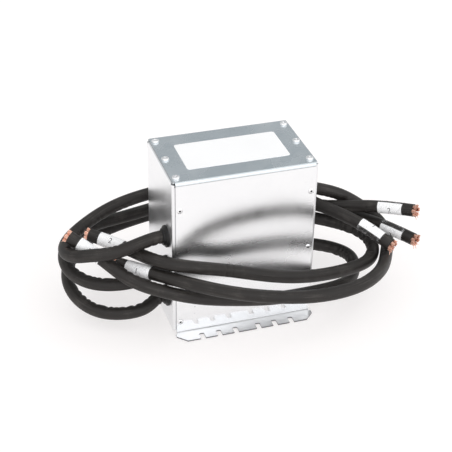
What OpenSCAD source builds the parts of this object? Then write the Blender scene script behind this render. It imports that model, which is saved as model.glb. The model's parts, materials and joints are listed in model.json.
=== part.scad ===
// Three-phase power line filter: a riveted and folded sheet-metal box with six
// heavy flexible leads, three through each end plate.
// Frame: millimetres, +Z up, origin at the middle of the box on the mounting plane,
// front panel towards -Y, line side at -X, load side at +X.

/* [Housing] */
// Length of the box over the end plates
box_w = 160; // [150:2:180]
// Depth of the box over the front and rear panels
box_d = 103; // [100:1:120]
// Height of the box from the mounting plane to the top of the lid
box_h = 189; // [186:1:220]
// Thickness of the galvanised sheet
sheet_t = 1.5; // [1:0.1:2]
// Outer radius of every fold
fold_r = 3; // [2.5:0.1:3.5]

/* [Front and rear panels] */
// Distance from an end face to the side edge of a panel
panel_inset = 3.7; // [3:0.1:5]
// Gap between the top edge of a panel and the lip of the lid
seam_gap = 0.4; // [0.2:0.1:1]
// How far a mounting flange stands out from its panel
flange_out = 17.5; // [16:0.5:22]
// Distance from an end face to the side edge of a mounting flange
flange_inset = 1.7; // [1:0.1:3]
// Size of the corner cut of a mounting flange
flange_corner = 10; // [6:1:12]
// Width of the relief notch at each end of a panel's fold
notch_w = 1.5; // [1:0.1:2]
// Width of an open mounting slot
slot_w = 5.5; // [4.6:0.1:6.5]
// Depth of an open mounting slot from the edge of the flange
slot_l = 8.75; // [7:0.25:10]
// Corner radius at the closed end of a slot
slot_corner_r = 1.5; // [0.5:0.1:2]
// Distance between two slots of one group
slot_pitch = 19; // [16:1:21]
// Distance between the two slots beside the middle tab
slot_middle = 26; // [22:1:32]
// Number of slots in each group
slots_per_group = 3; // [2:1:3]

/* [End plates] */
// Width of the folded edges of an end plate, measured from its end face
edge_w = 16; // [15:0.5:20]
// Length left open at each corner where two folds would meet
corner_relief = 4.5; // [4:0.1:6]

/* [Base plate] */
// Height of the upturned edges of the base plate
base_edge_h = 12; // [9:1:14]
// Distance from an end face to the upturned edges of the base plate
base_edge_inset = 20; // [18:1:30]

/* [Lid] */
// Height of the lip of the lid
lip_h = 3.5; // [3.5:0.1:6]
// Distance from an end face to the side edge of the lid
lid_inset = 1.5; // [1:0.1:2.5]
// Distance from an end face to the screws of the lid
lid_screw_inset = 7.2; // [7:0.1:9]
// Distance between two neighbouring screws along a side of the lid
lid_screw_pitch = 40.4; // [34:0.2:42]

/* [Lid screws] */
// Head diameter of a lid screw
screw_head_d = 8; // [7:0.1:8.4]
// Head height of a lid screw
screw_head_h = 2.4; // [1.8:0.1:3]
// Shank diameter of a lid screw
screw_d = 4; // [3:0.1:4.5]
// Shank length of a lid screw under its head
screw_l = 9; // [8:0.5:12]
// Diameter of the recess in the head
screw_recess_d = 2.6; // [2:0.1:3]
// Depth of the recess in the head
screw_recess_l = 1.4; // [1:0.1:1.6]
// Height of the straight rim of the head
screw_rim_h = 0.4; // [0.2:0.1:0.8]
// Rounding of the head above its rim
screw_round_r = 1.4; // [1:0.1:1.6]
// Diameter of a clinch nut
nut_d = 7.5; // [6.5:0.1:8]
// Height of a clinch nut
nut_h = 4; // [3:0.1:5]

/* [Rivets] */
// Head diameter of a blind rivet
rivet_head_d = 6.6; // [6:0.1:7.5]
// Head height of a blind rivet
rivet_head_h = 1.1; // [0.8:0.1:1.5]
// Shank diameter of a blind rivet
rivet_d = 3.2; // [2.8:0.1:4]
// Diameter of the hole left by the mandrel
rivet_hole_d = 1.9; // [1.4:0.1:2.2]
// Depth of that hole below the face of the panel
rivet_hole_l = 1.5; // [1:0.1:2.5]
// Diameter of the flat top of a rivet head
rivet_top_d = 4; // [3:0.1:5]
// Height of the thin rim of a rivet head
rivet_rim_h = 0.25; // [0.15:0.05:0.4]
// Diameter of the bulb behind the sheets
rivet_bulb_d = 4.8; // [4.4:0.1:5.4]
// Length of the bulb behind the sheets
rivet_bulb_l = 3; // [2.4:0.1:4]
// Bevel at both ends of the bulb
rivet_bulb_edge = 0.7; // [0.4:0.1:1]
// Distance from an end face to the rivets
rivet_inset = 8; // [7.5:0.1:9]
// Height of the lowest rivets
rivet_low = 15; // [12:1:20]
// Height of the highest rivets
rivet_high = 156; // [145:1:165]

/* [Rating label] */
// Length of the bare label on the lid
label_w = 113; // [90:1:120]
// Width of the bare label on the lid
label_d = 55; // [40:1:64]
// Corner radius of the label
label_corner_r = 3; // [1:0.5:5]
// Thickness of the label
label_t = 0.2; // [0.1:0.05:0.4]

/* [Leads] */
// Outer diameter of a lead
lead_d = 14; // [12:0.1:14]
// Distance of the leads from the middle plane of the box
lead_side = 28.5; // [24:0.5:30]
// Height of the lowest lead
lead_low = 37; // [34:0.5:40]
// Distance between two leads, one above the other
lead_pitch = 38; // [34:0.5:38]
// Length of a lead inside the end plate
lead_inside = 10; // [9:0.5:12]
// Straight stretch of a lead past its grommet
lead_straight = 2.5; // [2:0.1:4]

/* [Lead ends] */
// Length of a marker sleeve
sleeve_l = 30; // [20:1:32]
// Wall of a marker sleeve
sleeve_t = 0.5; // [0.3:0.1:0.6]
// Bare stub of jacket past a marker sleeve
stub_l = 12; // [8:1:13]
// Length of the bare copper past the jacket
copper_l = 6; // [4:0.5:9]
// Diameter of one of the six outer bundles of copper strands
bundle_d = 3.8; // [3:0.1:3.9]
// Gap between two outer bundles
bundle_gap = 0.1; // [0.05:0.05:0.2]
// Diameter of the middle bundle, which the outer ones are laid on
middle_bundle_d = 4.2; // [4.1:0.1:4.4]
// How far the middle bundle stays behind the outer ones
copper_back = 1.6; // [0.5:0.1:2]

/* [Grommets] */
// Diameter of the outer collar of a grommet
grommet_d = 24; // [22:0.5:26]
// Thickness of the outer collar of a grommet
collar_t = 3; // [2:0.1:4]
// Diameter of the hub of a grommet
hub_d = 19; // [17.5:0.1:20]
// How far a grommet stands out from the end plate
grommet_out = 5.5; // [4.5:0.1:7]
// Diameter of the neck of a grommet, which fills the hole in the end plate
neck_d = 20; // [18:0.5:21]
// Diameter of the inner collar of a grommet
inner_collar_d = 23; // [22:0.5:24]
// Thickness of the inner collar of a grommet
inner_collar_t = 2; // [1.5:0.1:3]
// Taper of the inner collar, which snaps through the hole
inner_collar_taper = 0.5; // [0.3:0.1:1]
// Bevel of the outer edges of a grommet
grommet_edge = 0.8; // [0.4:0.1:1]

/* [Choke] */
// Outer diameter of the choke core
core_od = 78; // [70:1:78]
// Inner diameter of the choke core
core_id = 44; // [44:1:48]
// Length of the choke core along its axis
core_l = 36; // [30:1:38]
// Radius of the edges of the choke core
core_edge_r = 2; // [1:0.5:4]
// Height of the choke axis
choke_z = 66; // [64:1:68]
// Angle between the middles of two windings
phase_angle = 120; // [118:0.5:122]
// Straight stretch of a winding past the face of the core
tail_l = 6; // [4:0.5:8]
// How far out of the middle of the core section a tail begins
tail_rise = 2; // [0:0.5:3]
// Diameter of the winding wire
wire_d = 7; // [5:0.1:7]
// Full turns of each winding, with a half turn added to reach the other face
winding_turns = 3; // [2:1:3]
// Angle between two turns of a winding
turn_step = 26; // [24:1:27]
// Length of a crimp ferrule
ferrule_l = 22; // [18:1:24]
// Depth of the bore of a ferrule
ferrule_bore_l = 18; // [12:1:20]
// How far the winding wire reaches into a ferrule
wire_in = 16; // [8:1:17]
// How far the winding wire runs straight out of a ferrule
wire_out = 2; // [1:0.5:3]
// Diameter of a crimp ferrule
ferrule_d = 11; // [10:0.1:12]

/* [Choke saddle] */
// Width of the saddle post between the two lower windings
post_w = 12; // [9:0.5:13]
// Length of the saddle post along the choke axis
post_l = 30; // [24:1:32]
// Length of the foot of the saddle
foot_l = 70; // [60:1:76]
// Width of the foot of the saddle
foot_w = 44; // [36:1:50]
// Thickness of the foot of the saddle
foot_t = 4; // [3:0.5:5]
// Distance from the edges of the foot to its screws
foot_screw_inset = 7; // [6:0.5:9]
// Head diameter of the screws of the saddle
foot_screw_head_d = 7.2; // [6.5:0.1:8]
// How far the saddle post reaches up round the core
cradle_h = 2; // [1:0.5:3]
// Distance from the middle of the foot to its ribs
rib_offset = 11; // [9:0.5:14]
// Thickness of a rib of the foot
rib_t = 4; // [2:0.5:5]
// Height of a rib above the foot
rib_h = 4; // [2:0.5:5]
// Width of the strap that holds the core
strap_w = 8; // [6:0.5:8]
// Thickness of the strap
strap_t = 1.3; // [1:0.1:1.5]
// Depth of the strap's passage below the core
strap_depth = 6; // [4:0.5:8]

/* [Capacitor shelf] */
// Room between the tallest capacitors and the lid
cap_room = 4; // [3:0.5:8]
// Width of the shelf
shelf_d = 92; // [86:1:94]
// Height of the upturned ends of the shelf
shelf_edge_h = 12; // [9:1:16]
// Length of the board
board_w = 140; // [136:1:144]
// Width of the board
board_d = 84; // [82:1:86]
// Thickness of the board
board_t = 1.6; // [1:0.1:2.4]
// Height of the standoffs under the board
standoff_h = 8; // [6:1:9]
// Width of a standoff over its corners
standoff_d = 6; // [5:0.5:8]
// Distance from the side of the board to its standoffs
standoff_margin = 0.5; // [0.3:0.1:1]
// Head diameter of the screws of the board
board_screw_d = 5.4; // [4.6:0.1:5.8]
// Head height of the screws of the board
board_screw_h = 1.8; // [1.4:0.1:2.4]
// Length, width and height of a capacitor between phases
phase_cap = [41.5, 20, 28];
// Width, length and height of a capacitor to earth
earth_cap = [10, 18, 16];
// How far the capacitors to earth stand out of line with the others
earth_cap_shift = 3; // [0:0.5:4]
// Distance from the side of the board to the phase capacitors
cap_side_margin = 6; // [5:0.25:6.5]
// Distance from the end of the board to the phase capacitors
cap_margin = 9.25; // [9:0.25:10]
// Radius of the upright edges of a capacitor
cap_edge_r = 1.5; // [0.5:0.1:2]
// Diameter of a discharge resistor
resistor_d = 4; // [3:0.5:5]
// Length of a discharge resistor
resistor_l = 12; // [9:0.5:14]
// Gap between the earth capacitors and the discharge resistors
resistor_gap = 2.5; // [1.5:0.1:3]
// Diameter of a tap wire
tap_d = 2; // [1.5:0.1:2.5]
// Diameter of the holes that the tap wires pass through
tap_hole_d = 5; // [4:0.2:5.4]
// Distance between two tap wires along the ferrules
tap_pitch = 6.5; // [6:0.1:7]

/* [Hidden] */

// Running clearance round a shank, a neck or a lead in its hole
fit_gap = 0.05;
// Seat clearance under a piece that is strapped or pressed down
seat_gap = 0.2;
// Clearance between the end face of a lead and the piece that meets it
end_gap = 0.02;
// Overlap of a cutting body past the face that it cuts
cut = 1;
// Smoothness of round work
$fn = 48;

// Sides of a lead's tube and of a winding's tube
lead_sides = 10;
wire_sides = 8;

end_x = box_w / 2;
wall_y = box_d / 2;
inner_y = wall_y - sheet_t;
fold_in = fold_r - sheet_t;
panel_x = end_x - panel_inset;
flange_x = end_x - flange_inset;
flange_y = wall_y + flange_out;
lid_x = end_x - lid_inset;
flange_top = box_h - sheet_t;
lip_z = box_h - lip_h;
rivet_x = end_x - rivet_inset;
rivet_middle = (rivet_low + rivet_high) / 2;
screw_x = end_x - lid_screw_inset;
inner_x = end_x - sheet_t;

// Levels of the leads: top, middle and bottom
lead_z = [lead_low + 2 * lead_pitch, lead_low + lead_pitch, lead_low];
root_x = end_x - lead_inside;
exit_x = end_x + grommet_out + lead_straight;

// Start of a route: the inner end, then the end of the straight stretch past the grommet
function line_start(i) = [[-root_x, -lead_side, lead_z[i]], [-exit_x, -lead_side, lead_z[i]]];
function load_start(i) = [[root_x, lead_side, lead_z[i]], [exit_x, lead_side, lead_z[i]]];

// Routes of the free leads, each from the inner end to the end of the jacket.
// Only the first two points follow the size of the box.
line_top_route = concat(line_start(0), [[-114, -32, 110], [-141, -34, 106], [-163, -29, 104],
    [-178, -18, 99], [-184, 0, 95], [-178, 19, 94], [-157, 40, 97], [-118, 61, 103],
    [-66, 74, 106], [0, 83, 103], [58, 78, 97], [90, 50, 94], [110, 15, 94], [138, -25, 91],
    [165.5, -64, 78.5]]);
line_middle_route = concat(line_start(1), [[-107, -31.5, 67], [-132, -28, 61], [-161, -15, 60],
    [-179, 8, 64], [-180, 31, 71], [-158, 55, 80], [-112, 72, 80], [-58, 84, 80], [0, 91, 80],
    [52, 86, 80], [91, 60, 79], [122, 24, 85], [160, -5, 95], [199, -45, 106]]);
line_bottom_route = concat(line_start(2), [[-104, -36.5, 32.5], [-132, -36, 28],
    [-158, -21, 27], [-176, 4, 34], [-178, 31, 43], [-158, 63, 54], [-110, 88, 60],
    [-52, 100, 63], [5, 105, 66], [58, 98, 66], [101, 77, 67], [136, 39, 69], [170, -14, 76],
    [195.5, -58.5, 77]]);
load_top_route = concat(load_start(0), [[113, 28, 107], [142, 26, 95], [167, 17, 79],
    [181, -2, 67], [180, -24, 61], [170, -46, 60], [154, -75, 65], [132, -105, 74],
    [104, -127, 80], [60, -136, 82], [12, -129, 84], [-36, -107, 85], [-88, -60, 82],
    [-131, -16, 79.5]]);
load_middle_route = concat(load_start(1), [[109, 24, 71], [131, 14, 67], [151, -4, 64],
    [158, -29, 62], [149, -52, 60], [126, -70, 63], [92, -82, 68], [52, -86, 73], [12, -80, 79],
    [-28, -71, 87], [-66, -67, 96], [-94, -50, 97], [-119, -15, 95], [-153.5, 17.5, 99.5]]);
load_bottom_route = concat(load_start(2), [[109, 24, 35], [131, 14, 32], [144, -6, 31],
    [140, -28, 30], [124, -51, 31], [97, -67, 37], [61, -77, 43], [22, -82, 48], [-20, -82, 55],
    [-60, -77, 62], [-97, -66, 71], [-126, -47, 79], [-148, -24, 92], [-178, 3, 110]]);

// Radii and half length of the path of a winding round the core, with the wire
// lying a seat gap off the core on every side
wire_off = wire_d / 2 + seat_gap;
winding_out_r = core_od / 2 + wire_off;
winding_in_r = core_id / 2 - wire_off;
winding_half_l = core_l / 2 + wire_off;
winding_span = (winding_turns + 0.5) * turn_step;
ferrule_x = root_x - end_gap - ferrule_l;
tap_side = (ferrule_d + tap_d) / 2;
board_top = flange_top - cap_room - phase_cap[2];
board_z = board_top - board_t;
shelf_z = board_z - standoff_h - sheet_t;
cap_offset = board_w / 2 - cap_margin - phase_cap[0] / 2;
cap_pitch = (board_d - phase_cap[1]) / 2 - cap_side_margin;
resistor_offset = earth_cap[0] / 2 + resistor_gap + resistor_d / 2;
standoff_x = board_w / 2 - standoff_d;
standoff_y = board_d / 2 - standoff_d / 2 - standoff_margin;
base_top = 2 * sheet_t;
base_edge_x = end_x - base_edge_inset;
post_seat_r = core_od / 2 + seat_gap;
strap_hole_z = choke_z - core_od / 2 - strap_depth;

steel = "gainsboro";
lid_steel = "lightsteelblue";
rubber = "#38322f";
copper = "#e08a63";

function unit(v) = v / norm(v);

// Direction of a path at point i: the mean of the directions of its two sides
function heading(p, i) =
    i == 0 ? unit(p[1] - p[0])
    : i == len(p) - 1 ? unit(p[i] - p[i - 1])
    : unit(unit(p[i] - p[i - 1]) + unit(p[i + 1] - p[i]));

// Part of v that stands square to t, at unit length
function square_to(v, t) = unit(v - (v * t) * t);

// Side direction at each point of a path, carried along it without twist
function side_directions(p, first) =
    [for (i = 0, s = square_to(first, heading(p, 0)); i < len(p);
        i = i + 1, s = i < len(p) ? square_to(s, heading(p, i)) : s) s];

// A tube of radius r along the points of a path, as one closed polyhedron
module tube(path, r, sides, first = [0, 0, 1]) {
    side = side_directions(path, first);
    rings = [for (i = [0 : len(path) - 1])
        let (t = heading(path, i), s = side[i], b = cross(t, s))
        for (k = [0 : sides - 1])
            path[i] + r * (cos(360 * k / sides) * s + sin(360 * k / sides) * b)];
    last = (len(path) - 1) * sides;
    walls = [for (i = [0 : len(path) - 2]) for (k = [0 : sides - 1])
        let (a = i * sides + k, b = i * sides + (k + 1) % sides)
        for (f = [[a, a + sides, b], [b, a + sides, b + sides]]) f];
    start_cap = [[for (k = [0 : sides - 1]) k]];
    end_cap = [[for (k = [sides - 1 : -1 : 0]) last + k]];
    polyhedron(points = rings, faces = concat(start_cap, walls, end_cap), convexity = 10);
}

// Places a child that stands on +Z at point p, turned to look from p towards q
module looking(p, q) {
    v = q - p;
    translate(p)
        rotate([0, acos(v[2] / norm(v)), atan2(v[1], v[0])])
            children();
}

// Quarter ring of a fold, its centre at the origin, filling the +X +Y quarter
module fold_2d() {
    intersection() {
        difference() {
            circle(r = fold_r);
            circle(r = fold_in);
        }
        square(fold_r);
    }
}

// The quarter ring of a fold along the X axis, turned by a about that axis
module fold_along_x(l, a) {
    rotate([a, 0, 0])
        rotate([90, 0, 90])
            translate([0, 0, -l / 2])
                linear_extrude(l)
                    fold_2d();
}

// A plain sheet from corner a to corner b
module sheet_box(a, b) {
    translate(a)
        cube(b - a);
}

// Outline of an open mounting slot, its closed end at the origin and open towards -Y
module slot_2d() {
    translate([-slot_w / 2, -slot_l - cut])
        square([slot_w, slot_l + cut - slot_corner_r]);
    hull()
        for (s = [-1, 1])
            translate([s * (slot_w / 2 - slot_corner_r), -slot_corner_r])
                circle(r = slot_corner_r);
}

// Places of the slots along a mounting flange
function slot_places() =
    [for (s = [-1, 1]) for (i = [0 : slots_per_group - 1]) s * (slot_middle / 2 + i * slot_pitch)];

// Flat outline of the front mounting flange from its fold line outwards
module flange_2d() {
    fold_line = wall_y + fold_in;
    difference() {
        polygon([[-panel_x, -fold_line], [-panel_x, -fold_line - notch_w],
            [-flange_x, -fold_line - notch_w], [-flange_x, -flange_y + flange_corner],
            [-flange_x + flange_corner, -flange_y], [flange_x - flange_corner, -flange_y],
            [flange_x, -flange_y + flange_corner], [flange_x, -fold_line - notch_w],
            [panel_x, -fold_line - notch_w], [panel_x, -fold_line]]);
        for (x = slot_places())
            translate([x, -flange_y + slot_l])
                slot_2d();
    }
}

// Places of the rivets of one panel, seen square on: x and z
function rivet_places() =
    [for (s = [-1, 1]) for (z = [rivet_low, rivet_middle, rivet_high]) [s * rivet_x, z]];

// Front panel: a flat wall folded outwards into the slotted mounting flange
module panel() {
    difference() {
        union() {
            sheet_box([-panel_x, -wall_y, fold_r], [panel_x, -inner_y, lip_z - seam_gap]);
            translate([0, -wall_y - fold_in, fold_r])
                fold_along_x(2 * panel_x, -90);
            linear_extrude(sheet_t)
                flange_2d();
        }
        for (p = rivet_places())
            translate([p[0], -wall_y - cut, p[1]])
                rotate([-90, 0, 0])
                    cylinder(d = rivet_d + 2 * fit_gap, h = sheet_t + 2 * cut);
    }
}

module front_panel() {
    color(steel)
        panel();
}

module rear_panel() {
    color(steel)
        rotate([0, 0, 180])
            panel();
}

// Upright folded edge of the right end plate at the front corner
module upright_edge() {
    translate([end_x - fold_r, -(inner_y - fold_r), corner_relief])
        linear_extrude(flange_top - 2 * corner_relief)
            mirror([0, 1])
                fold_2d();
    sheet_box([end_x - edge_w, -inner_y, corner_relief],
        [end_x - fold_r, -inner_y + sheet_t, flange_top - corner_relief]);
}

// Level folded edge of the right end plate along its foot
module level_edge() {
    half = inner_y - corner_relief;
    translate([end_x - fold_r, half, fold_r])
        rotate([90, 0, 0])
            linear_extrude(2 * half)
                mirror([0, 1])
                    fold_2d();
    sheet_box([end_x - edge_w, -half, 0], [end_x - fold_r, half, sheet_t]);
}

// Right end plate: a flat wall folded inwards on all four sides, with three lead holes
module end_plate() {
    difference() {
        union() {
            sheet_box([inner_x, -inner_y + fold_r, fold_r],
                [end_x, inner_y - fold_r, flange_top - fold_r]);
            for (m = [0, 1])
                mirror([0, m, 0])
                    upright_edge();
            level_edge();
            translate([0, 0, flange_top])
                mirror([0, 0, 1])
                    level_edge();
        }
        for (z = lead_z)
            translate([inner_x - cut, lead_side, z])
                rotate([0, 90, 0])
                    cylinder(d = neck_d + 2 * fit_gap, h = sheet_t + 2 * cut);
        for (s = [-1, 1])
            for (z = [rivet_low, rivet_middle, rivet_high])
                translate([rivet_x, s * (inner_y - sheet_t / 2), z])
                    rotate([90, 0, 0])
                        cylinder(d = rivet_d + 2 * fit_gap, h = sheet_t + 2 * cut, center = true);
        for (i = [-1, 0, 1])
            translate([screw_x, i * lid_screw_pitch, flange_top - sheet_t - cut])
                cylinder(d = screw_d + 2 * fit_gap, h = sheet_t + 2 * cut);
    }
}

module right_end_plate() {
    color(steel)
        end_plate();
}

module left_end_plate() {
    color(steel)
        rotate([0, 0, 180])
            end_plate();
}

// Base plate: rests on the lower edges of the end plates, turned up along both panels
module base_plate() {
    half_y = inner_y - fit_gap;
    color(steel) {
        sheet_box([-end_x + fold_r + seat_gap, -half_y + fold_r, sheet_t],
            [end_x - fold_r - seat_gap, half_y - fold_r, base_top]);
        for (m = [0, 1])
            mirror([0, m, 0]) {
                translate([0, -half_y + fold_r, sheet_t + fold_r])
                    fold_along_x(2 * base_edge_x, 180);
                sheet_box([-base_edge_x, -half_y, sheet_t + fold_r],
                    [base_edge_x, -half_y + sheet_t, sheet_t + base_edge_h]);
            }
    }
}

// Lid: a flat sheet with a folded lip along the front and the rear
module lid() {
    color(lid_steel)
        difference() {
            union() {
                sheet_box([-lid_x, -wall_y + fold_r, flange_top], [lid_x, wall_y - fold_r, box_h]);
                for (m = [0, 1])
                    mirror([0, m, 0]) {
                        translate([0, -wall_y + fold_r, box_h - fold_r])
                            fold_along_x(2 * panel_x, 90);
                        sheet_box([-panel_x, -wall_y, lip_z], [panel_x, -inner_y, box_h - fold_r]);
                    }
            }
            for (p = lid_screw_places())
                translate([p[0], p[1], flange_top - cut])
                    cylinder(d = screw_d + 2 * fit_gap, h = sheet_t + 2 * cut);
        }
}

// Bare rating label with round corners
module rating_label() {
    x = label_w / 2 - label_corner_r;
    y = label_d / 2 - label_corner_r;
    color("white")
        translate([0, 0, box_h])
            linear_extrude(label_t)
                hull()
                    for (s = [-1, 1], t = [-1, 1])
                        translate([s * x, t * y])
                            circle(r = label_corner_r);
}

// Places of the screws of the lid
function lid_screw_places() =
    [for (s = [-1, 1]) for (i = [-1, 0, 1]) [s * screw_x, i * lid_screw_pitch]];

// Pan-head screw, standing head up with the underside of its head at the origin
module lid_screw() {
    difference() {
        union() {
            rotate_extrude()
                intersection() {
                    hull() {
                        square([screw_head_d / 2, screw_rim_h]);
                        translate([0, screw_head_h - screw_round_r])
                            square([screw_head_d / 2 - screw_round_r, screw_round_r]);
                        translate([screw_head_d / 2 - screw_round_r, screw_head_h - screw_round_r])
                            circle(r = screw_round_r);
                    }
                    square([screw_head_d, screw_head_h]);
                }
            translate([0, 0, -screw_l])
                cylinder(d = screw_d, h = screw_l);
        }
        translate([0, 0, screw_head_h - screw_recess_l])
            cylinder(d = screw_recess_d, h = screw_recess_l + cut, $fn = 6);
    }
}

module lid_screws() {
    color("silver")
        for (p = lid_screw_places())
            translate([p[0], p[1], box_h])
                lid_screw();
}

// Clinch nuts under the upper edges of the end plates
module lid_nuts() {
    color("silver")
        for (p = lid_screw_places())
            translate([p[0], p[1], flange_top - sheet_t - nut_h])
                difference() {
                    cylinder(d = nut_d, h = nut_h);
                    translate([0, 0, -cut])
                        cylinder(d = screw_d + 2 * fit_gap, h = nut_h + 2 * cut);
                }
}

// Blind rivet along +Z, the underside of its head at the origin, its shank towards -Z
module rivet() {
    blind_face = -2 * sheet_t;
    blind_end = blind_face - rivet_bulb_l;
    bulb_r = rivet_bulb_d / 2;
    head_r = rivet_head_d / 2;
    top_r = rivet_top_d / 2;
    shoulder = [(2 * head_r + top_r) / 3, 0.7 * rivet_head_h];
    rotate_extrude()
        polygon([[0, blind_end], [bulb_r - rivet_bulb_edge, blind_end],
            [bulb_r, blind_end + rivet_bulb_edge], [bulb_r, blind_face - rivet_bulb_edge],
            [rivet_d / 2, blind_face], [rivet_d / 2, 0], [head_r, 0], [head_r, rivet_rim_h],
            shoulder, [top_r, rivet_head_h], [rivet_hole_d / 2, rivet_head_h],
            [rivet_hole_d / 2, -rivet_hole_l], [0, -rivet_hole_l]]);
}

module front_rivets() {
    color("whitesmoke")
        for (p = rivet_places())
            translate([p[0], -wall_y, p[1]])
                rotate([90, 0, 0])
                    rivet();
}

module rear_rivets() {
    color("whitesmoke")
        rotate([0, 0, 180])
            front_rivets();
}

// Rubber grommet on +Z, the outer face of the end plate at the origin
module grommet() {
    bore_r = lead_d / 2 + fit_gap;
    inner_r = inner_collar_d / 2;
    inner_end = -sheet_t - inner_collar_t;
    outer_r = grommet_d / 2;
    hub_r = hub_d / 2;
    color(rubber)
        rotate_extrude()
            polygon([[bore_r, inner_end], [inner_r - inner_collar_taper, inner_end],
                [inner_r, -sheet_t], [neck_d / 2, -sheet_t], [neck_d / 2, 0], [outer_r, 0],
                [outer_r, collar_t - grommet_edge], [outer_r - grommet_edge, collar_t],
                [hub_r + grommet_edge, collar_t], [hub_r, collar_t + grommet_edge],
                [hub_r, grommet_out - grommet_edge], [hub_r - grommet_edge, grommet_out],
                [bore_r, grommet_out]]);
}

// Grommet at level i of the line side or the load side
module line_grommet(i) {
    translate([-end_x, -lead_side, lead_z[i]])
        rotate([0, -90, 0])
            grommet();
}

module load_grommet(i) {
    translate([end_x, lead_side, lead_z[i]])
        rotate([0, 90, 0])
            grommet();
}

module line_grommet_top() { line_grommet(0); }
module line_grommet_middle() { line_grommet(1); }
module line_grommet_bottom() { line_grommet(2); }
module load_grommet_top() { load_grommet(0); }
module load_grommet_middle() { load_grommet(1); }
module load_grommet_bottom() { load_grommet(2); }

// Jacketed lead along its route
module lead(route) {
    color(rubber)
        tube(route, lead_d / 2, lead_sides);
}

module line_lead_top() { lead(line_top_route); }
module line_lead_middle() { lead(line_middle_route); }
module line_lead_bottom() { lead(line_bottom_route); }
module load_lead_top() { lead(load_top_route); }
module load_lead_middle() { lead(load_middle_route); }
module load_lead_bottom() { lead(load_bottom_route); }

// White marker sleeve round the last straight stretch of a route
module marker(route) {
    n = len(route);
    bore_r = lead_d / 2 + fit_gap;
    color("white")
        looking(route[n - 1], route[n - 2])
            translate([0, 0, stub_l])
                difference() {
                    cylinder(r = bore_r + sleeve_t, h = sleeve_l);
                    translate([0, 0, -cut])
                        cylinder(r = bore_r, h = sleeve_l + 2 * cut);
                }
}

module line_marker_top() { marker(line_top_route); }
module line_marker_middle() { marker(line_middle_route); }
module line_marker_bottom() { marker(line_bottom_route); }
module load_marker_top() { marker(load_top_route); }
module load_marker_middle() { marker(load_middle_route); }
module load_marker_bottom() { marker(load_bottom_route); }

// Bare copper at the end of a route: six bundles laid round a middle one
module strands(route) {
    n = len(route);
    color(copper)
        looking(route[n - 1], 2 * route[n - 1] - route[n - 2])
            translate([0, 0, end_gap]) {
                cylinder(d = middle_bundle_d, h = copper_l - copper_back);
                for (k = [0 : 5])
                    rotate(60 * k)
                        translate([bundle_d + bundle_gap, 0, 0])
                            cylinder(d = bundle_d, h = copper_l);
            }
}

module line_strands_top() { strands(line_top_route); }
module line_strands_middle() { strands(line_middle_route); }
module line_strands_bottom() { strands(line_bottom_route); }
module load_strands_top() { strands(load_top_route); }
module load_strands_middle() { strands(load_middle_route); }
module load_strands_bottom() { strands(load_bottom_route); }

// Crimp ferrules that join the leads to the tails of the windings on one side
module ferrules() {
    color(copper)
        for (z = lead_z)
            translate([ferrule_x, lead_side, z])
                rotate([0, 90, 0])
                    difference() {
                        cylinder(d = ferrule_d, h = ferrule_l);
                        translate([0, 0, -cut])
                            cylinder(d = wire_d + 2 * fit_gap, h = ferrule_bore_l + cut);
                    }
}

module load_ferrules() { ferrules(); }
module line_ferrules() { rotate([0, 0, 180]) ferrules(); }

// Ring core of the choke, its axis along X
module choke_core() {
    color("#5a7d8c")
        translate([0, 0, choke_z])
            rotate([0, 90, 0])
                rotate_extrude()
                    hull()
                        for (r = [core_id / 2 + core_edge_r, core_od / 2 - core_edge_r])
                            for (z = [-core_l / 2 + core_edge_r, core_l / 2 - core_edge_r])
                                translate([r, z])
                                    circle(r = core_edge_r, $fn = 16);
}

// Point at radius r and angle a round the choke axis, x along that axis
function round_choke(x, r, a) = [x, r * cos(a), choke_z + r * sin(a)];

// One turn round the core section from angle a on: four corners of three points each
function turn(a, corners) =
    [for (c = [0 : corners - 1]) for (q = [0 : 2])
        let (s = (c + 0.5 * (q / 2)) / 4,
            side = (c == 0 || c == 3) ? -1 : 1,
            level = c < 2 ? 1 : -1,
            sweep = c * 90 + q * 45,
            corner_r = level > 0 ? core_od / 2 : core_id / 2,
            x = side * core_l / 2 - wire_off * cos(sweep),
            r = corner_r + wire_off * sin(sweep))
        round_choke(x, r, a + turn_step * s)];

// Path of a winding centred on angle a: turns round the core and one tail on each side
function winding_path(a, line_level, load_level) =
    let (first = a - winding_span / 2,
        last = a + winding_span / 2,
        mid_r = (core_od + core_id) / 4,
        turns = [for (i = [0 : winding_turns - 1]) each turn(first + i * turn_step, 4)],
        half = turn(first + winding_turns * turn_step, 2),
        tail_x = winding_half_l + tail_l)
    concat(
        [[-ferrule_x - wire_in, -lead_side, lead_z[line_level]],
            [-ferrule_x + wire_out, -lead_side, lead_z[line_level]],
            round_choke(-tail_x, mid_r, first),
            round_choke(-winding_half_l, mid_r + tail_rise, first)],
        turns, half,
        [round_choke(winding_half_l, mid_r + tail_rise, last),
            round_choke(tail_x, mid_r, last),
            [ferrule_x - wire_out, lead_side, lead_z[load_level]],
            [ferrule_x + wire_in, lead_side, lead_z[load_level]]]);

module winding(a, line_level, load_level) {
    color("#b5622f")
        tube(winding_path(a, line_level, load_level), wire_d / 2, wire_sides);
}

module top_winding() { winding(90, 0, 0); }
module front_winding() { winding(90 + phase_angle, 1, 2); }
module rear_winding() { winding(90 - phase_angle, 2, 1); }

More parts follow.
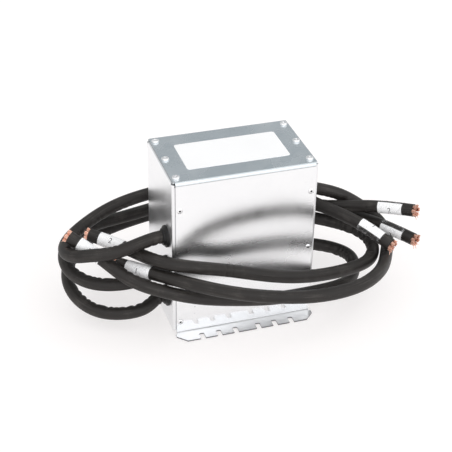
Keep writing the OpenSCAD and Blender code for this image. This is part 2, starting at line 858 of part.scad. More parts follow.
// Moulded saddle: a foot on the base plate and a post that carries the core
module choke_saddle() {
    post_top = choke_z - core_od / 2 + cradle_h;
    color("#26282b")
        difference() {
            union() {
                translate([-foot_l / 2, -foot_w / 2, base_top])
                    cube([foot_l, foot_w, foot_t]);
                translate([-post_l / 2, -post_w / 2, base_top])
                    cube([post_l, post_w, post_top - base_top]);
                for (s = [-1, 1])
                    translate([s * rib_offset - rib_t / 2, -foot_w / 2 + rib_t / 2, base_top])
                        cube([rib_t, foot_w - rib_t, foot_t + rib_h]);
            }
            translate([-foot_l / 2, 0, choke_z])
                rotate([0, 90, 0])
                    cylinder(r = post_seat_r, h = foot_l, $fn = 96);
            translate([-post_l / 2 - cut, -strap_w / 2 - seat_gap, strap_hole_z - seat_gap])
                cube([post_l + 2 * cut, strap_w + 2 * seat_gap, strap_t + 2 * seat_gap]);
            for (p = saddle_screw_places())
                translate([p[0], p[1], base_top - cut])
                    cylinder(d = screw_d + 2 * fit_gap, h = foot_t + 2 * cut);
        }
}

// Strap through the saddle post and the bore of the core
module choke_strap() {
    top = choke_z - sqrt(pow(core_id / 2, 2) - pow(strap_w / 2, 2)) + seat_gap;
    half_l = core_l / 2 + seat_gap;
    color("whitesmoke")
        difference() {
            sheet_box([-half_l - strap_t, -strap_w / 2, strap_hole_z],
                [half_l + strap_t, strap_w / 2, top + strap_t]);
            sheet_box([-half_l, -strap_w / 2 - cut, strap_hole_z + strap_t],
                [half_l, strap_w / 2 + cut, top]);
        }
}

function saddle_screw_places() =
    [for (s = [-1, 1], t = [-1, 1])
        [s * (foot_l / 2 - foot_screw_inset), t * (foot_w / 2 - foot_screw_inset)]];

// Short screws through the foot of the saddle, heads up
module saddle_screws() {
    color("silver")
        for (p = saddle_screw_places())
            translate([p[0], p[1], base_top]) {
                cylinder(d = screw_d, h = foot_t);
                translate([0, 0, foot_t])
                    cylinder(d = foot_screw_head_d, h = screw_head_h);
            }
}

// Shelf: a flat sheet between the end plates, turned up against each of them
module capacitor_shelf() {
    half = shelf_d / 2;
    color(steel)
        difference() {
            union() {
                sheet_box([-inner_x + fold_r, -half, shelf_z],
                    [inner_x - fold_r, half, shelf_z + sheet_t]);
                for (m = [0, 1])
                    mirror([m, 0, 0]) {
                        translate([inner_x - fold_r, half, shelf_z + fold_r])
                            rotate([90, 0, 0])
                                linear_extrude(shelf_d)
                                    mirror([0, 1])
                                        fold_2d();
                        sheet_box([inner_x - sheet_t, -half, shelf_z + fold_r],
                            [inner_x, half, shelf_z + shelf_edge_h]);
                    }
            }
            for (s = [-1, 1], i = [0 : 2])
                translate([tap_place(s, i)[0], tap_place(s, i)[1], shelf_z - cut])
                    cylinder(d = tap_hole_d, h = sheet_t + 2 * cut);
        }
}

function standoff_places() = [for (s = [-1, 1], t = [-1, 1]) [s * standoff_x, t * standoff_y]];

module board_standoffs() {
    color("goldenrod")
        for (p = standoff_places())
            translate([p[0], p[1], shelf_z + sheet_t])
                cylinder(d = standoff_d, h = standoff_h, $fn = 6);
}

module board_screws() {
    color("silver")
        for (p = standoff_places())
            translate([p[0], p[1], board_top])
                cylinder(d = board_screw_d, h = board_screw_h);
}

module filter_board() {
    color("#2f6b46")
        translate([-board_w / 2, -board_d / 2, board_z])
            cube([board_w, board_d, board_t]);
}

// Box capacitor with rounded upright edges, standing on the board at x, y
module box_capacitor(x, y, size, shade) {
    color(shade)
        translate([x, y, board_top])
            linear_extrude(size[2])
                hull()
                    for (s = [-1, 1], t = [-1, 1])
                        translate([s * (size[0] / 2 - cap_edge_r), t * (size[1] / 2 - cap_edge_r)])
                            circle(r = cap_edge_r, $fn = 16);
}

module phase_capacitor(side, i) {
    box_capacitor(side * cap_offset, (i - 2) * cap_pitch, phase_cap, "#d9dde0");
}

module earth_capacitor(i) {
    box_capacitor(0, (i - 2) * cap_pitch + earth_cap_shift, earth_cap, "#2c5fa8");
}

module line_capacitor_1() { phase_capacitor(-1, 1); }
module line_capacitor_2() { phase_capacitor(-1, 2); }
module line_capacitor_3() { phase_capacitor(-1, 3); }
module load_capacitor_1() { phase_capacitor(1, 1); }
module load_capacitor_2() { phase_capacitor(1, 2); }
module load_capacitor_3() { phase_capacitor(1, 3); }
module earth_capacitor_1() { earth_capacitor(1); }
module earth_capacitor_2() { earth_capacitor(2); }
module earth_capacitor_3() { earth_capacitor(3); }

// Discharge resistors lying on the board between the phase capacitors
module discharge_resistors() {
    color("tan")
        for (s = [-1, 1])
            for (i = [-1, 0, 1])
                translate([s * resistor_offset, i * cap_pitch, board_top + resistor_d / 2])
                    rotate([90, 0, 0])
                        cylinder(d = resistor_d, h = resistor_l, center = true);
}

// Place of the tap wire of level i on side s of the box
function tap_place(s, i) = [s * (root_x - tap_pitch * (i + 0.5)), s * (lead_side - tap_side)];

// Thin tap wires from the ferrules up to the board
module tap_wires() {
    color("red")
        for (s = [-1, 1])
            for (i = [0 : 2])
                translate([tap_place(s, i)[0], tap_place(s, i)[1], lead_z[i]])
                    cylinder(d = tap_d, h = board_z - lead_z[i]);
}

front_panel();
rear_panel();
left_end_plate();
right_end_plate();
base_plate();
lid();
rating_label();
lid_screws();
lid_nuts();
front_rivets();
rear_rivets();
line_grommet_top();
line_grommet_middle();
line_grommet_bottom();
load_grommet_top();
load_grommet_middle();
load_grommet_bottom();
line_lead_top();
line_lead_middle();
line_lead_bottom();
load_lead_top();
load_lead_middle();
load_lead_bottom();
line_marker_top();
line_marker_middle();
line_marker_bottom();
load_marker_top();
load_marker_middle();
load_marker_bottom();
line_strands_top();
line_strands_middle();
line_strands_bottom();
load_strands_top();
load_strands_middle();
load_strands_bottom();
line_ferrules();
load_ferrules();
choke_core();
top_winding();
front_winding();
rear_winding();
choke_saddle();
choke_strap();
saddle_screws();
capacitor_shelf();
filter_board();
board_standoffs();
board_screws();
line_capacitor_1();
line_capacitor_2();
line_capacitor_3();
load_capacitor_1();
load_capacitor_2();
load_capacitor_3();
earth_capacitor_1();
earth_capacitor_2();
earth_capacitor_3();
discharge_resistors();
tap_wires();
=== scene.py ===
# %% [markdown]
# # Power line filter
# A sheet-metal box holds a three-phase interference filter. Three heavy leads leave
# each end plate and loop round the box, as they come out of the packing. The exact
# solids of the box come from the CAD frame. This file adds the camera, the soft skins
# of the leads with their marked and bared ends, the small fasteners, and a finish for
# every piece.

import json
import math

import bmesh
import bpy
import numpy as np
from mathutils import Matrix, Vector


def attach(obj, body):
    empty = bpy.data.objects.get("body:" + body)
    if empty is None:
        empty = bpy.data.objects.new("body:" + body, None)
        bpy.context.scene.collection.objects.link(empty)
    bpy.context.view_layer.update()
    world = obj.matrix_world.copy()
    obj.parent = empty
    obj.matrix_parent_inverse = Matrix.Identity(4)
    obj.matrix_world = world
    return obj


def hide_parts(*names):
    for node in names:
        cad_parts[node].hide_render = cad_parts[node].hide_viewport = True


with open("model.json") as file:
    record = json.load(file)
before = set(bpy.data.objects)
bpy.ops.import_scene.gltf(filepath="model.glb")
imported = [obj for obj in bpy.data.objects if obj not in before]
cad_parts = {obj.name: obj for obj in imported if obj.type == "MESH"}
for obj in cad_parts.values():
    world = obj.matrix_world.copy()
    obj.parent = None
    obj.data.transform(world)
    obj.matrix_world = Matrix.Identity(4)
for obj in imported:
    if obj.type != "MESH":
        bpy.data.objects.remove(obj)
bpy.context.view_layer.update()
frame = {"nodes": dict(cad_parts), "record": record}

LEVELS = ("top", "middle", "bottom")
LEADS = [f"{side}_lead_{level}" for side in ("line", "load") for level in LEVELS]

# %% [markdown]
# The camera stands in front of the box, a little to its left, and looks down on it.
# Its place and angles were worked out from the corners of the box in the picture.
# A camera looks along its own -Z axis, so its matrix is built from three directions:
# right, up and back.

# %% Camera
CAMERA_PLACE = np.array([-0.3623, -1.0866, 0.8191])
CAMERA_YAW = math.radians(18.205)
CAMERA_PITCH = math.radians(32.344)
CAMERA_ROLL = math.radians(0.953)
CAMERA_LENS = 98.15


def camera_axes(yaw, pitch, roll):
    """Right, up and back: the level view turned by yaw, tipped down by pitch and rolled."""
    forward = np.array([
        math.sin(yaw) * math.cos(pitch), math.cos(yaw) * math.cos(pitch), -math.sin(pitch),
    ])
    right = np.array([math.cos(yaw), -math.sin(yaw), 0.0])
    up = np.cross(right, forward)
    rolled_right = math.cos(roll) * right + math.sin(roll) * up
    rolled_up = math.cos(roll) * up - math.sin(roll) * right
    return rolled_right, rolled_up, -forward


def add_object(name, data):
    """An object made from its data and linked to the scene."""
    made = bpy.data.objects.new(name, data)
    bpy.context.scene.collection.objects.link(made)
    return made


camera_data = bpy.data.cameras.new("camera")
camera_data.lens = CAMERA_LENS
camera_data.sensor_width = 36.0
camera_data.clip_start = 0.05
camera_data.clip_end = 20.0
camera = add_object("camera", camera_data)
right, up, back = camera_axes(CAMERA_YAW, CAMERA_PITCH, CAMERA_ROLL)
camera.matrix_world = Matrix(
    [[right[i], up[i], back[i], CAMERA_PLACE[i]] for i in range(3)] + [[0.0, 0.0, 0.0, 1.0]]
)
bpy.context.scene.camera = camera
bpy.context.scene.view_settings.view_transform = "Standard"
print("camera", CAMERA_PLACE, "lens", CAMERA_LENS)

# %% [markdown]
# Each lead is a stiff 50 mm2 cable, 14 mm thick. It leaves its grommet straight and
# keeps the curve that it was wound to, so it doesn't sag like a thin cord. The route is
# a list of given points in millimetres, the same as in the CAD source. A Blender
# curve could join them, but its bend would jump at each point. A natural cubic spline
# keeps the bend even, as the real cable does.

# %% Lead routes
LEAD_DIAMETER = 0.014
LEAD_RADIUS = LEAD_DIAMETER / 2
RING_STEP = 0.0007
ROUTES_MM = {
    "line_lead_top": [
        (-70, -28.5, 113), (-88, -28.5, 113), (-114, -32, 110), (-141, -34, 106),
        (-163, -29, 104), (-178, -18, 99), (-184, 0, 95), (-178, 19, 94), (-157, 40, 97),
        (-118, 61, 103), (-66, 74, 106), (0, 83, 103), (58, 78, 97), (90, 50, 94), (110, 15, 94),
        (138, -25, 91), (165.5, -64, 78.5),
    ],
    "line_lead_middle": [
        (-70, -28.5, 75), (-88, -28.5, 75), (-107, -31.5, 67), (-132, -28, 61), (-161, -15, 60),
        (-179, 8, 64), (-180, 31, 71), (-158, 55, 80), (-112, 72, 80), (-58, 84, 80),
        (0, 91, 80), (52, 86, 80), (91, 60, 79), (122, 24, 85), (160, -5, 95), (199, -45, 106),
    ],
    "line_lead_bottom": [
        (-70, -28.5, 37), (-88, -28.5, 37), (-104, -36.5, 32.5), (-132, -36, 28),
        (-158, -21, 27), (-176, 4, 34), (-178, 31, 43), (-158, 63, 54), (-110, 88, 60),
        (-52, 100, 63), (5, 105, 66), (58, 98, 66), (101, 77, 67), (136, 39, 69), (170, -14, 76),
        (195.5, -58.5, 77),
    ],
    "load_lead_top": [
        (70, 28.5, 113), (88, 28.5, 113), (113, 28, 107), (142, 26, 95), (167, 17, 79),
        (181, -2, 67), (180, -24, 61), (170, -46, 60), (154, -75, 65), (132, -105, 74),
        (104, -127, 80), (60, -136, 82), (12, -129, 84), (-36, -107, 85), (-88, -60, 82),
        (-131, -16, 79.5),
    ],
    "load_lead_middle": [
        (70, 28.5, 75), (88, 28.5, 75), (109, 24, 71), (131, 14, 67), (151, -4, 64),
        (158, -29, 62), (149, -52, 60), (126, -70, 63), (92, -82, 68), (52, -86, 73),
        (12, -80, 79), (-28, -71, 87), (-66, -67, 96), (-94, -50, 97), (-119, -15, 95),
        (-153.5, 17.5, 99.5),
    ],
    "load_lead_bottom": [
        (70, 28.5, 37), (88, 28.5, 37), (109, 24, 35), (131, 14, 32), (144, -6, 31),
        (140, -28, 30), (124, -51, 31), (97, -67, 37), (61, -77, 43), (22, -82, 48),
        (-20, -82, 55), (-60, -77, 62), (-97, -66, 71), (-126, -47, 79), (-148, -24, 92),
        (-178, 3, 110),
    ],
}
ROUTES = {name: np.array(points) / 1000 for name, points in ROUTES_MM.items()}
print(sum(map(len, ROUTES.values())), "points on", len(ROUTES), "leads")

# %% Spline through the points


def along(line):
    """Distance along a line to each of its points."""
    return np.r_[0, np.cumsum(np.linalg.norm(np.diff(line, axis=0), axis=1))]


def spline_second_derivatives(t, values):
    """Second derivatives of the natural cubic spline: a tridiagonal system, zero at both ends.
    Each inner row says that six times the change of slope is a weighted sum of three of them."""
    h = np.diff(t)
    slope = np.diff(values, axis=0) / h[:, None]
    inner = np.arange(1, len(t) - 1)
    system = np.eye(len(t))
    system[inner, inner - 1] = h[:-1]
    system[inner, inner] = 2 * (h[:-1] + h[1:])
    system[inner, inner + 1] = h[1:]
    target = np.zeros_like(values)
    target[inner] = 6 * np.diff(slope, axis=0)
    return np.linalg.solve(system, target)


def smooth_line(points, step):
    """Natural cubic spline through the points, read off at even steps of the chord length."""
    t = along(points)
    second = spline_second_derivatives(t, points)
    at = np.linspace(0, t[-1], int(round(t[-1] / step)) + 1)
    i = np.clip(np.searchsorted(t, at) - 1, 0, len(t) - 2)
    h = (t[i + 1] - t[i])[:, None]
    a = (t[i + 1] - at)[:, None] / h
    b = 1 - a
    return (
        a * points[i] + b * points[i + 1]
        + ((a ** 3 - a) * second[i] + (b ** 3 - b) * second[i + 1]) * h ** 2 / 6
    )


lines = {name: smooth_line(points, RING_STEP) for name, points in ROUTES.items()}
print(sum(map(len, lines.values())), "rings in all")

# %% [markdown]
# A skin needs directions as well as a line. Two sides at right angles to the cable are
# carried along from ring to ring, so that the skin doesn't twist, and the curvature
# tells where a bend presses the rubber together.

# %% Directions along a lead


def carried_frame(line):
    """Tangent, side and second side at each point, the side carried along without twist."""
    tangent = np.gradient(line, axis=0)
    tangent /= np.linalg.norm(tangent, axis=1)[:, None]
    side = np.zeros_like(line)
    side[0] = np.array([0, 0, 1]) - tangent[0, 2] * tangent[0]
    side[0] /= np.linalg.norm(side[0])
    for i in range(1, len(line)):
        carried = side[i - 1] - (side[i - 1] @ tangent[i]) * tangent[i]
        side[i] = carried / np.linalg.norm(carried)
    return tangent, side, np.cross(tangent, side)


def bend_of(line):
    """Curvature vector at each point: how fast the direction turns, pointing into the bend."""
    tangent = np.gradient(line, axis=0)
    speed = np.linalg.norm(tangent, axis=1)[:, None]
    tangent = tangent / speed
    return np.gradient(tangent, axis=0) / speed


frames = {name: carried_frame(line) for name, line in lines.items()}
for name, line in lines.items():
    length, tightest = along(line)[-1], 1 / np.linalg.norm(bend_of(line), axis=1).max()
    print(f"{name}: {len(line)} rings, {length:.3f} m, tightest bend {tightest:.3f} m")

# %% [markdown]
# Most surfaces here are grids of points: rows along a piece and columns round it. These
# helpers turn a grid into faces and then into an object. Columns run anticlockwise about
# the direction of the rows, so that every face looks outwards.

# %% Mesh helpers


def round_angles(count):
    """Angles at even steps round a circle."""
    return 2 * np.pi * np.arange(count) / count


def grid_faces(rows, columns, ring=False):
    """Quads of a grid that closes on itself round the columns, and along the rows for a ring."""
    i, j = np.meshgrid(np.arange(rows if ring else rows - 1), np.arange(columns), indexing="ij")
    a = i * columns + j
    b = i * columns + (j + 1) % columns
    to_next = ((i + 1) % rows - i) * columns
    return np.stack([a, b, b + to_next, a + to_next], axis=-1).reshape(-1, 4)


def tube_faces(rows, columns):
    """Quads round a tube, and one flat face over each of its ends."""
    first = list(range(columns))[::-1]
    last = list(range((rows - 1) * columns, rows * columns))
    return grid_faces(rows, columns).tolist() + [first, last]


def tube_pattern(distance, columns, radius):
    """Pattern coordinates of a tube in metres, one pair for each corner of each of its
    faces: the distance along it, and the distance round it."""
    step = 2 * np.pi * radius / columns
    i, j = np.meshgrid(np.arange(len(distance) - 1), np.arange(columns), indexing="ij")
    u = np.stack([distance[i], distance[i], distance[i + 1], distance[i + 1]], axis=-1)
    v = np.stack([j, j + 1, j + 1, j], axis=-1) * step
    walls = np.stack([u, v], axis=-1).reshape(-1, 2)
    rim = np.arange(columns) * step
    caps = [np.column_stack([np.full(columns, end), rim]) for end in distance[[0, -1]]]
    return np.concatenate([walls] + caps)


def make_piece(name, points, faces, pattern=None, crease=50):
    """Smooth object at the origin from an array of points, with edges sharper than crease kept."""
    mesh = bpy.data.meshes.new(name)
    mesh.from_pydata(np.asarray(points).tolist(), [], faces)
    mesh.shade_smooth()
    mesh.set_sharp_from_angle(angle=math.radians(crease))
    if pattern is not None:
        mesh.uv_layers.new(name="pattern").data.foreach_set("uv", pattern.ravel())
    return add_object(name, mesh)


def join_parts(parts):
    """One array of points and one list of faces from several (points, faces) pairs."""
    points = [part_points for part_points, _ in parts]
    starts = np.cumsum([0] + [len(array) for array in points]).tolist()
    faces = [
        [start + k for k in face]
        for start, (_, part_faces) in zip(starts, parts) for face in part_faces
    ]
    return np.concatenate(points), faces


def dress(piece, slot, *nodes):
    """The piece rides on the part and stands for some CAD nodes, which it hides. The slot is not
    used.
    """
    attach(piece, "root")
    if nodes:
        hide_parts(*nodes)
    print(piece.name, len(piece.data.polygons), "faces")

# %% [markdown]
# The jacket is a tube: a circle carried along the line. Where the cable bends, the soft
# rubber on the inside of the bend is pressed together. It bulges between sharp creases,
# 7 to 10 mm apart. The wave |sin| has exactly that shape: round lobes with a crease
# between them. Its height grows with the bend and fades towards the outer side. Slow
# waves keep the creases from being even: they shift them, slant them, and make them
# deeper and shallower. A bump in the material would be quicker, but these creases notch
# the cable's outline, so they have to be in the mesh.

# %% Jackets
JACKET_SIDES = 40
CREASE_PITCH = 0.0088
CREASE_DEPTH = 0.34
LOBE_ROUNDNESS = 0.7
LOBE_LEVEL = 0.75
BEND_SHARE = 0.06
BEND_FREE = 0.12
BEND_CURVE = 0.8
# A slow wave is its height and the length in metres after which it repeats. The slants go
# round the lead instead, and drift along it.
SHIFTS = (0.0024, 0.043), (0.0013, 0.027)
SLANTS, SLANT_DRIFT = (0.0014, 0.0009), 0.03
MEAN_DEPTH, DEPTH_WAVE = 0.7, (0.3, 0.031)
UNEVEN, OVAL = (0.006, 0.11), (0.010, 0.19)


def wave(u, size, phase):
    """Sine wave along a lead, its size being its height and its length."""
    height, length = size
    return height * np.sin(2 * np.pi * u / length + phase)


def outwards(side, other, angle):
    """Direction away from the centre line: cos angle side + sin angle other."""
    return np.cos(angle)[..., None] * side[:, None] + np.sin(angle)[..., None] * other[:, None]


def jacket_skin(name, seed):
    """Points of a jacket, by ring and side. The radius is R (1 + a (|sin|^roundness - level)),
    where a is the share of creasing, and slow waves make it a little uneven and oval."""
    line = lines[name]
    _, side, other = frames[name]
    u = along(line)[:, None]
    angle = round_angles(JACKET_SIDES)[None]
    outward = outwards(side, other, angle)
    pressed = (bend_of(line)[:, None] * outward).sum(-1)
    amount = np.clip(pressed * BEND_SHARE - BEND_FREE, 0, 1) ** BEND_CURVE
    phase = np.random.default_rng(seed).uniform(0, 2 * np.pi, 8)
    shift = wave(u, SHIFTS[0], phase[0]) + wave(u, SHIFTS[1], phase[1])
    slant = SLANTS[0] * np.sin(angle + phase[2])
    slant = slant + SLANTS[1] * np.sin(2 * angle + phase[3] + u / SLANT_DRIFT)
    lobes = np.abs(np.sin(np.pi * (u + shift + slant) / CREASE_PITCH))
    strength = MEAN_DEPTH + wave(u, DEPTH_WAVE, phase[4])
    creased = CREASE_DEPTH * amount * strength * (lobes ** LOBE_ROUNDNESS - LOBE_LEVEL)
    uneven = wave(u, UNEVEN, 2 * angle + phase[5])
    oval = wave(u, OVAL, phase[6]) * np.cos(2 * angle)
    radius = LEAD_RADIUS * (1 + creased + uneven + oval)
    return line[:, None] + radius[..., None] * outward


jackets = {}
for number, name in enumerate(LEADS):
    rings = len(lines[name])
    jackets[name] = make_piece(
        name.replace("lead", "jacket"),
        jacket_skin(name, 20 + number).reshape(-1, 3),
        tube_faces(rings, JACKET_SIDES),
        tube_pattern(along(lines[name]), JACKET_SIDES, LEAD_RADIUS),
        crease=80,
    )
    dress(jackets[name], "lead_jacket", name)

# %% [markdown]
# Near its end each lead carries a self-laminating marker: a white field that holds the
# phase number, and a clear tail that is wound once round over it. One painted tube would
# lose the gloss that floats over the print. So the marker is two pieces: a white C-shaped
# film on the jacket, and a clear ring outside it, with a step where the tail ends and a
# few soft ripples where it was pressed down by hand.

# %% Marker sleeves
STUB = 0.012
SLEEVE = 0.030
FILM = 0.00015
FIELD_RADIUS = LEAD_RADIUS * 1.016
FIELD_INSET = 0.0004
FIELD_ROWS, FIELD_COLUMNS = 16, 40
WRAP_RADIUS = FIELD_RADIUS + 1.4 * FILM
WRAP_FILM = 1.3 * FILM
WRAP_ROWS, WRAP_SIDES = 28, 72
TAIL_STEP, RIPPLE, PINCH = 1.6 * FILM, 0.00013, 0.00022
STEP_FADE = 3.2
RIDGE_PLACE, RIDGE_WANDER, RIDGE_WIDTH = 0.12, 0.05, 0.035


def placed_along(name, at):
    """Centre, side and other side of a lead at given distances along it."""
    distance = along(lines[name])
    _, side, other = frames[name]
    return [
        np.stack([np.interp(at, distance, values[:, k]) for k in range(3)], axis=-1)
        for values in (lines[name], side, other)
    ]


def stretch(name, start, stop, count):
    """The same at even distances, counted back from the end of the jacket."""
    length = along(lines[name])[-1]
    return placed_along(name, np.linspace(length - start, length - stop, count))


def round_points(centre, side, other, radius, angle):
    """Centre + radius x the direction at the angle, by row and column."""
    return centre[:, None] + radius[..., None] * outwards(side, other, angle)


def angle_towards(name, back_from_end, direction):
    """Angle round a lead at which its surface faces a direction best."""
    _, side, other = stretch(name, back_from_end, back_from_end, 1)
    return math.atan2(other[0] @ direction, side[0] @ direction)

# %% White field and clear wrap


def white_field(name, middle, spread):
    """C-shaped film: an outer arc and an inner arc joined into one closed outline, swept along
    the lead. It lies just outside the jacket and is one film thick. At both ends, quads between
    the two arcs close it."""
    rows, columns = FIELD_ROWS, FIELD_COLUMNS
    centre, side, other = stretch(name, STUB + SLEEVE - FIELD_INSET, STUB + FIELD_INSET, rows)
    across = middle + np.linspace(-spread, spread, columns)
    angle = np.tile(np.r_[across, across[::-1]], (rows, 1))
    radius = np.tile(np.repeat([FIELD_RADIUS + FILM, FIELD_RADIUS], columns), (rows, 1))
    points = round_points(centre, side, other, radius, angle).reshape(-1, 3)
    j = np.arange(columns - 1)
    k = 2 * columns - 1 - j
    near = np.stack([j, k, k - 1, j + 1], axis=-1)
    far = np.stack([j, j + 1, k - 1, k], axis=-1) + (rows - 1) * 2 * columns
    ends = np.stack([near, far], axis=1).reshape(-1, 4)
    return points, np.concatenate([grid_faces(rows, 2 * columns), ends]).tolist()


def clear_wrap(name, seam, seed):
    """Ring of clear film. Its inner radius lies on the white field. Its outer radius = that + the
    film + a step at the seam that fades over a third of a turn + a ripple + a narrow pinched
    ridge, whose place past the seam wanders with the distance s."""
    centre, side, other = stretch(name, STUB + SLEEVE, STUB, WRAP_ROWS)
    angle = np.tile(round_angles(WRAP_SIDES), (WRAP_ROWS, 1))
    s = np.linspace(0, 1, WRAP_ROWS)[:, None]
    phase = np.random.default_rng(seed).uniform(0, 2 * np.pi, 4)
    past_seam = np.mod(angle - seam, 2 * np.pi) / (2 * np.pi)
    step = TAIL_STEP * np.clip(1 - past_seam * STEP_FADE, 0, 1)
    ripple = RIPPLE * np.sin(3 * angle + 5 * s + phase[0]) * np.sin(7 * s + phase[1])
    ridge = RIDGE_PLACE + RIDGE_WANDER * np.sin(4 * s + phase[2])
    pinch = PINCH * np.exp(-((past_seam - ridge) / RIDGE_WIDTH) ** 2)
    inner = np.full_like(angle, WRAP_RADIUS)
    outer = inner + WRAP_FILM + step + ripple + pinch
    skins = [
        round_points(centre, side, other, outer, angle),
        round_points(centre[::-1], side[::-1], other[::-1], inner, angle),
    ]
    faces = grid_faces(2 * WRAP_ROWS, WRAP_SIDES, ring=True)
    return np.concatenate(skins).reshape(-1, 3), faces.tolist()

# %% Make the markers
# For each lead: how far its field is turned from the viewer, half the field's width as an
# angle, and the seed of the wrap's ripples.
VIEW_FROM = np.array([-0.27, -0.81, 0.52])
MARKERS = {
    "line_lead_top": (-1.0, 1.3, 31),
    "line_lead_middle": (0.5, 1.3, 32),
    "line_lead_bottom": (1.1, 1.3, 33),
    "load_lead_top": (-0.2, 2.4, 34),
    "load_lead_middle": (0.3, 2.3, 35),
    "load_lead_bottom": (0.0, 2.5, 36),
}
MARKER_MIDDLE = STUB + SLEEVE / 2
facings, fields, wraps = {}, {}, {}
for name, (twist, spread, seed) in MARKERS.items():
    facing = angle_towards(name, MARKER_MIDDLE, VIEW_FROM) + twist
    field, wrap = white_field(name, facing, spread), clear_wrap(name, facing + spread, seed)
    facings[name] = facing
    fields[name] = make_piece(name.replace("lead", "field"), *field)
    wraps[name] = make_piece(name.replace("lead", "wrap"), *wrap)
    for piece in (fields[name], wraps[name]):
        dress(piece, "marker_sleeve", name.replace("lead", "marker"))

# %% [markdown]
# Each white field carries a plain phase number. It could be painted by the material, but
# as a mesh it keeps sharp edges. A font gives a flat outline, which is made a mesh, cut
# into narrow bands, and then bent round the lead: x runs along the lead, and y becomes
# an angle.

# %% Phase numbers
DIGIT_HEIGHT = 0.0058
DIGIT_BANDS = 14
INK_GAP, INK = 0.00002, 0.00003


def flat_digit(text):
    """Mesh of a flat digit, centred, its height 1 and cut into level bands."""
    curve = bpy.data.curves.new("digit", "FONT")
    curve.body = text
    curve.align_x = "CENTER"
    curve.align_y = "CENTER"
    maker = add_object("digit", curve)
    bpy.context.view_layer.update()
    depsgraph = bpy.context.evaluated_depsgraph_get()
    mesh = bpy.data.meshes.new_from_object(maker.evaluated_get(depsgraph))
    bpy.data.objects.remove(maker)
    bpy.data.curves.remove(curve)
    shape = bmesh.new()
    shape.from_mesh(mesh)
    bpy.data.meshes.remove(mesh)
    bmesh.ops.remove_doubles(shape, verts=shape.verts, dist=1e-5)
    points = np.array([v.co[:] for v in shape.verts])
    low, high = points.min(axis=0), points.max(axis=0)
    for height in np.linspace(low[1], high[1], DIGIT_BANDS + 1)[1:-1]:
        cut = shape.verts[:] + shape.edges[:] + shape.faces[:]
        bmesh.ops.bisect_plane(shape, geom=cut, plane_co=(0, height, 0), plane_no=(0, 1, 0))
    bmesh.ops.triangulate(shape, faces=shape.faces)
    shape.verts.index_update()
    points = np.array([v.co[:] for v in shape.verts])
    faces = np.array([[v.index for v in f.verts] for f in shape.faces])
    shape.free()
    return (points - (low + high) / 2) / (high[1] - low[1]), faces


def printed_digit(text, name, back_from_end, middle, upside_down):
    """The digit bent round a lead as a thin shell of ink: distance = place + x, angle =
    middle - y / radius. Edges that only one triangle has make the rim, and walls join the
    rim's top to its bottom."""
    points, faces = flat_digit(text)
    x, y = DIGIT_HEIGHT * points[:, :2].T * (-1 if upside_down else 1)
    radius = FIELD_RADIUS + FILM + INK_GAP
    centre, side, other = placed_along(name, along(lines[name])[-1] - back_from_end + x)
    angle = middle - y / radius
    outward = np.cos(angle)[:, None] * side + np.sin(angle)[:, None] * other
    top = centre + (radius + INK) * outward
    bottom = centre + radius * outward
    edges = np.concatenate([faces[:, [0, 1]], faces[:, [1, 2]], faces[:, [2, 0]]]).tolist()
    known = {tuple(edge) for edge in edges}
    rim = np.array([edge for edge in edges if (edge[1], edge[0]) not in known])
    count = len(points)
    a, b, c = top[faces[0]]
    if np.cross(b - a, c - a) @ outward[faces[0, 0]] < 0:
        faces, rim = faces[:, ::-1], rim[:, ::-1]
    walls = np.stack([rim[:, 1], rim[:, 0], rim[:, 0] + count, rim[:, 1] + count], axis=-1)
    all_faces = faces.tolist() + (faces[:, ::-1] + count).tolist() + walls.tolist()
    return np.concatenate([top, bottom]), all_faces

# %% Make the phase numbers
DIGITS = dict(zip(LEVELS, "123"))
digits = {}
for name in LEADS:
    text, upside_down = DIGITS[name.split("_")[-1]], name.startswith("load")
    shell = printed_digit(text, name, MARKER_MIDDLE, facings[name], upside_down)
    digits[name] = make_piece(name.replace("lead", "digit"), *shell)
    dress(digits[name], "marker_sleeve")

# %% [markdown]
# The bared end of a flexible 50 mm2 conductor is a rope: six bundles are laid round a
# middle one, and each bundle holds many fine wires. Striped tubes would look sawn off at
# the end, so every wire here is its own thin tube of six sides. Its line is the bundle's
# helix plus a smaller helix inside the bundle, and both are worked out for all wires at
# once.

# %% Bared copper
WIRE_RADIUS = 0.00035
WIRE_SIDES = 6
COPPER_ROWS = 7
BUNDLE_RING = 0.0047
WIRE_SPACING = 2.4
ROPE_LAY = 26.0
BUNDLE_LAY = -60.0
SPLAY, SPLAY_SPREAD = 30.0, (0.4, 1.3)
MIDDLE_REACH, BUNDLE_REACH, CUT_SPREAD = 0.0010, (0.0036, 0.0042), 0.0003


def bundle_places():
    """Places of the wires in a bundle: one in the middle, six round it and twelve round those."""
    places = [(0.0, 0.0)]
    for ring, count in ((1, 6), (2, 12)):
        radius = ring * WIRE_SPACING * WIRE_RADIUS
        places += [(radius, 2 * math.pi * k / count + 0.2 * ring) for k in range(count)]
    return np.array(places)


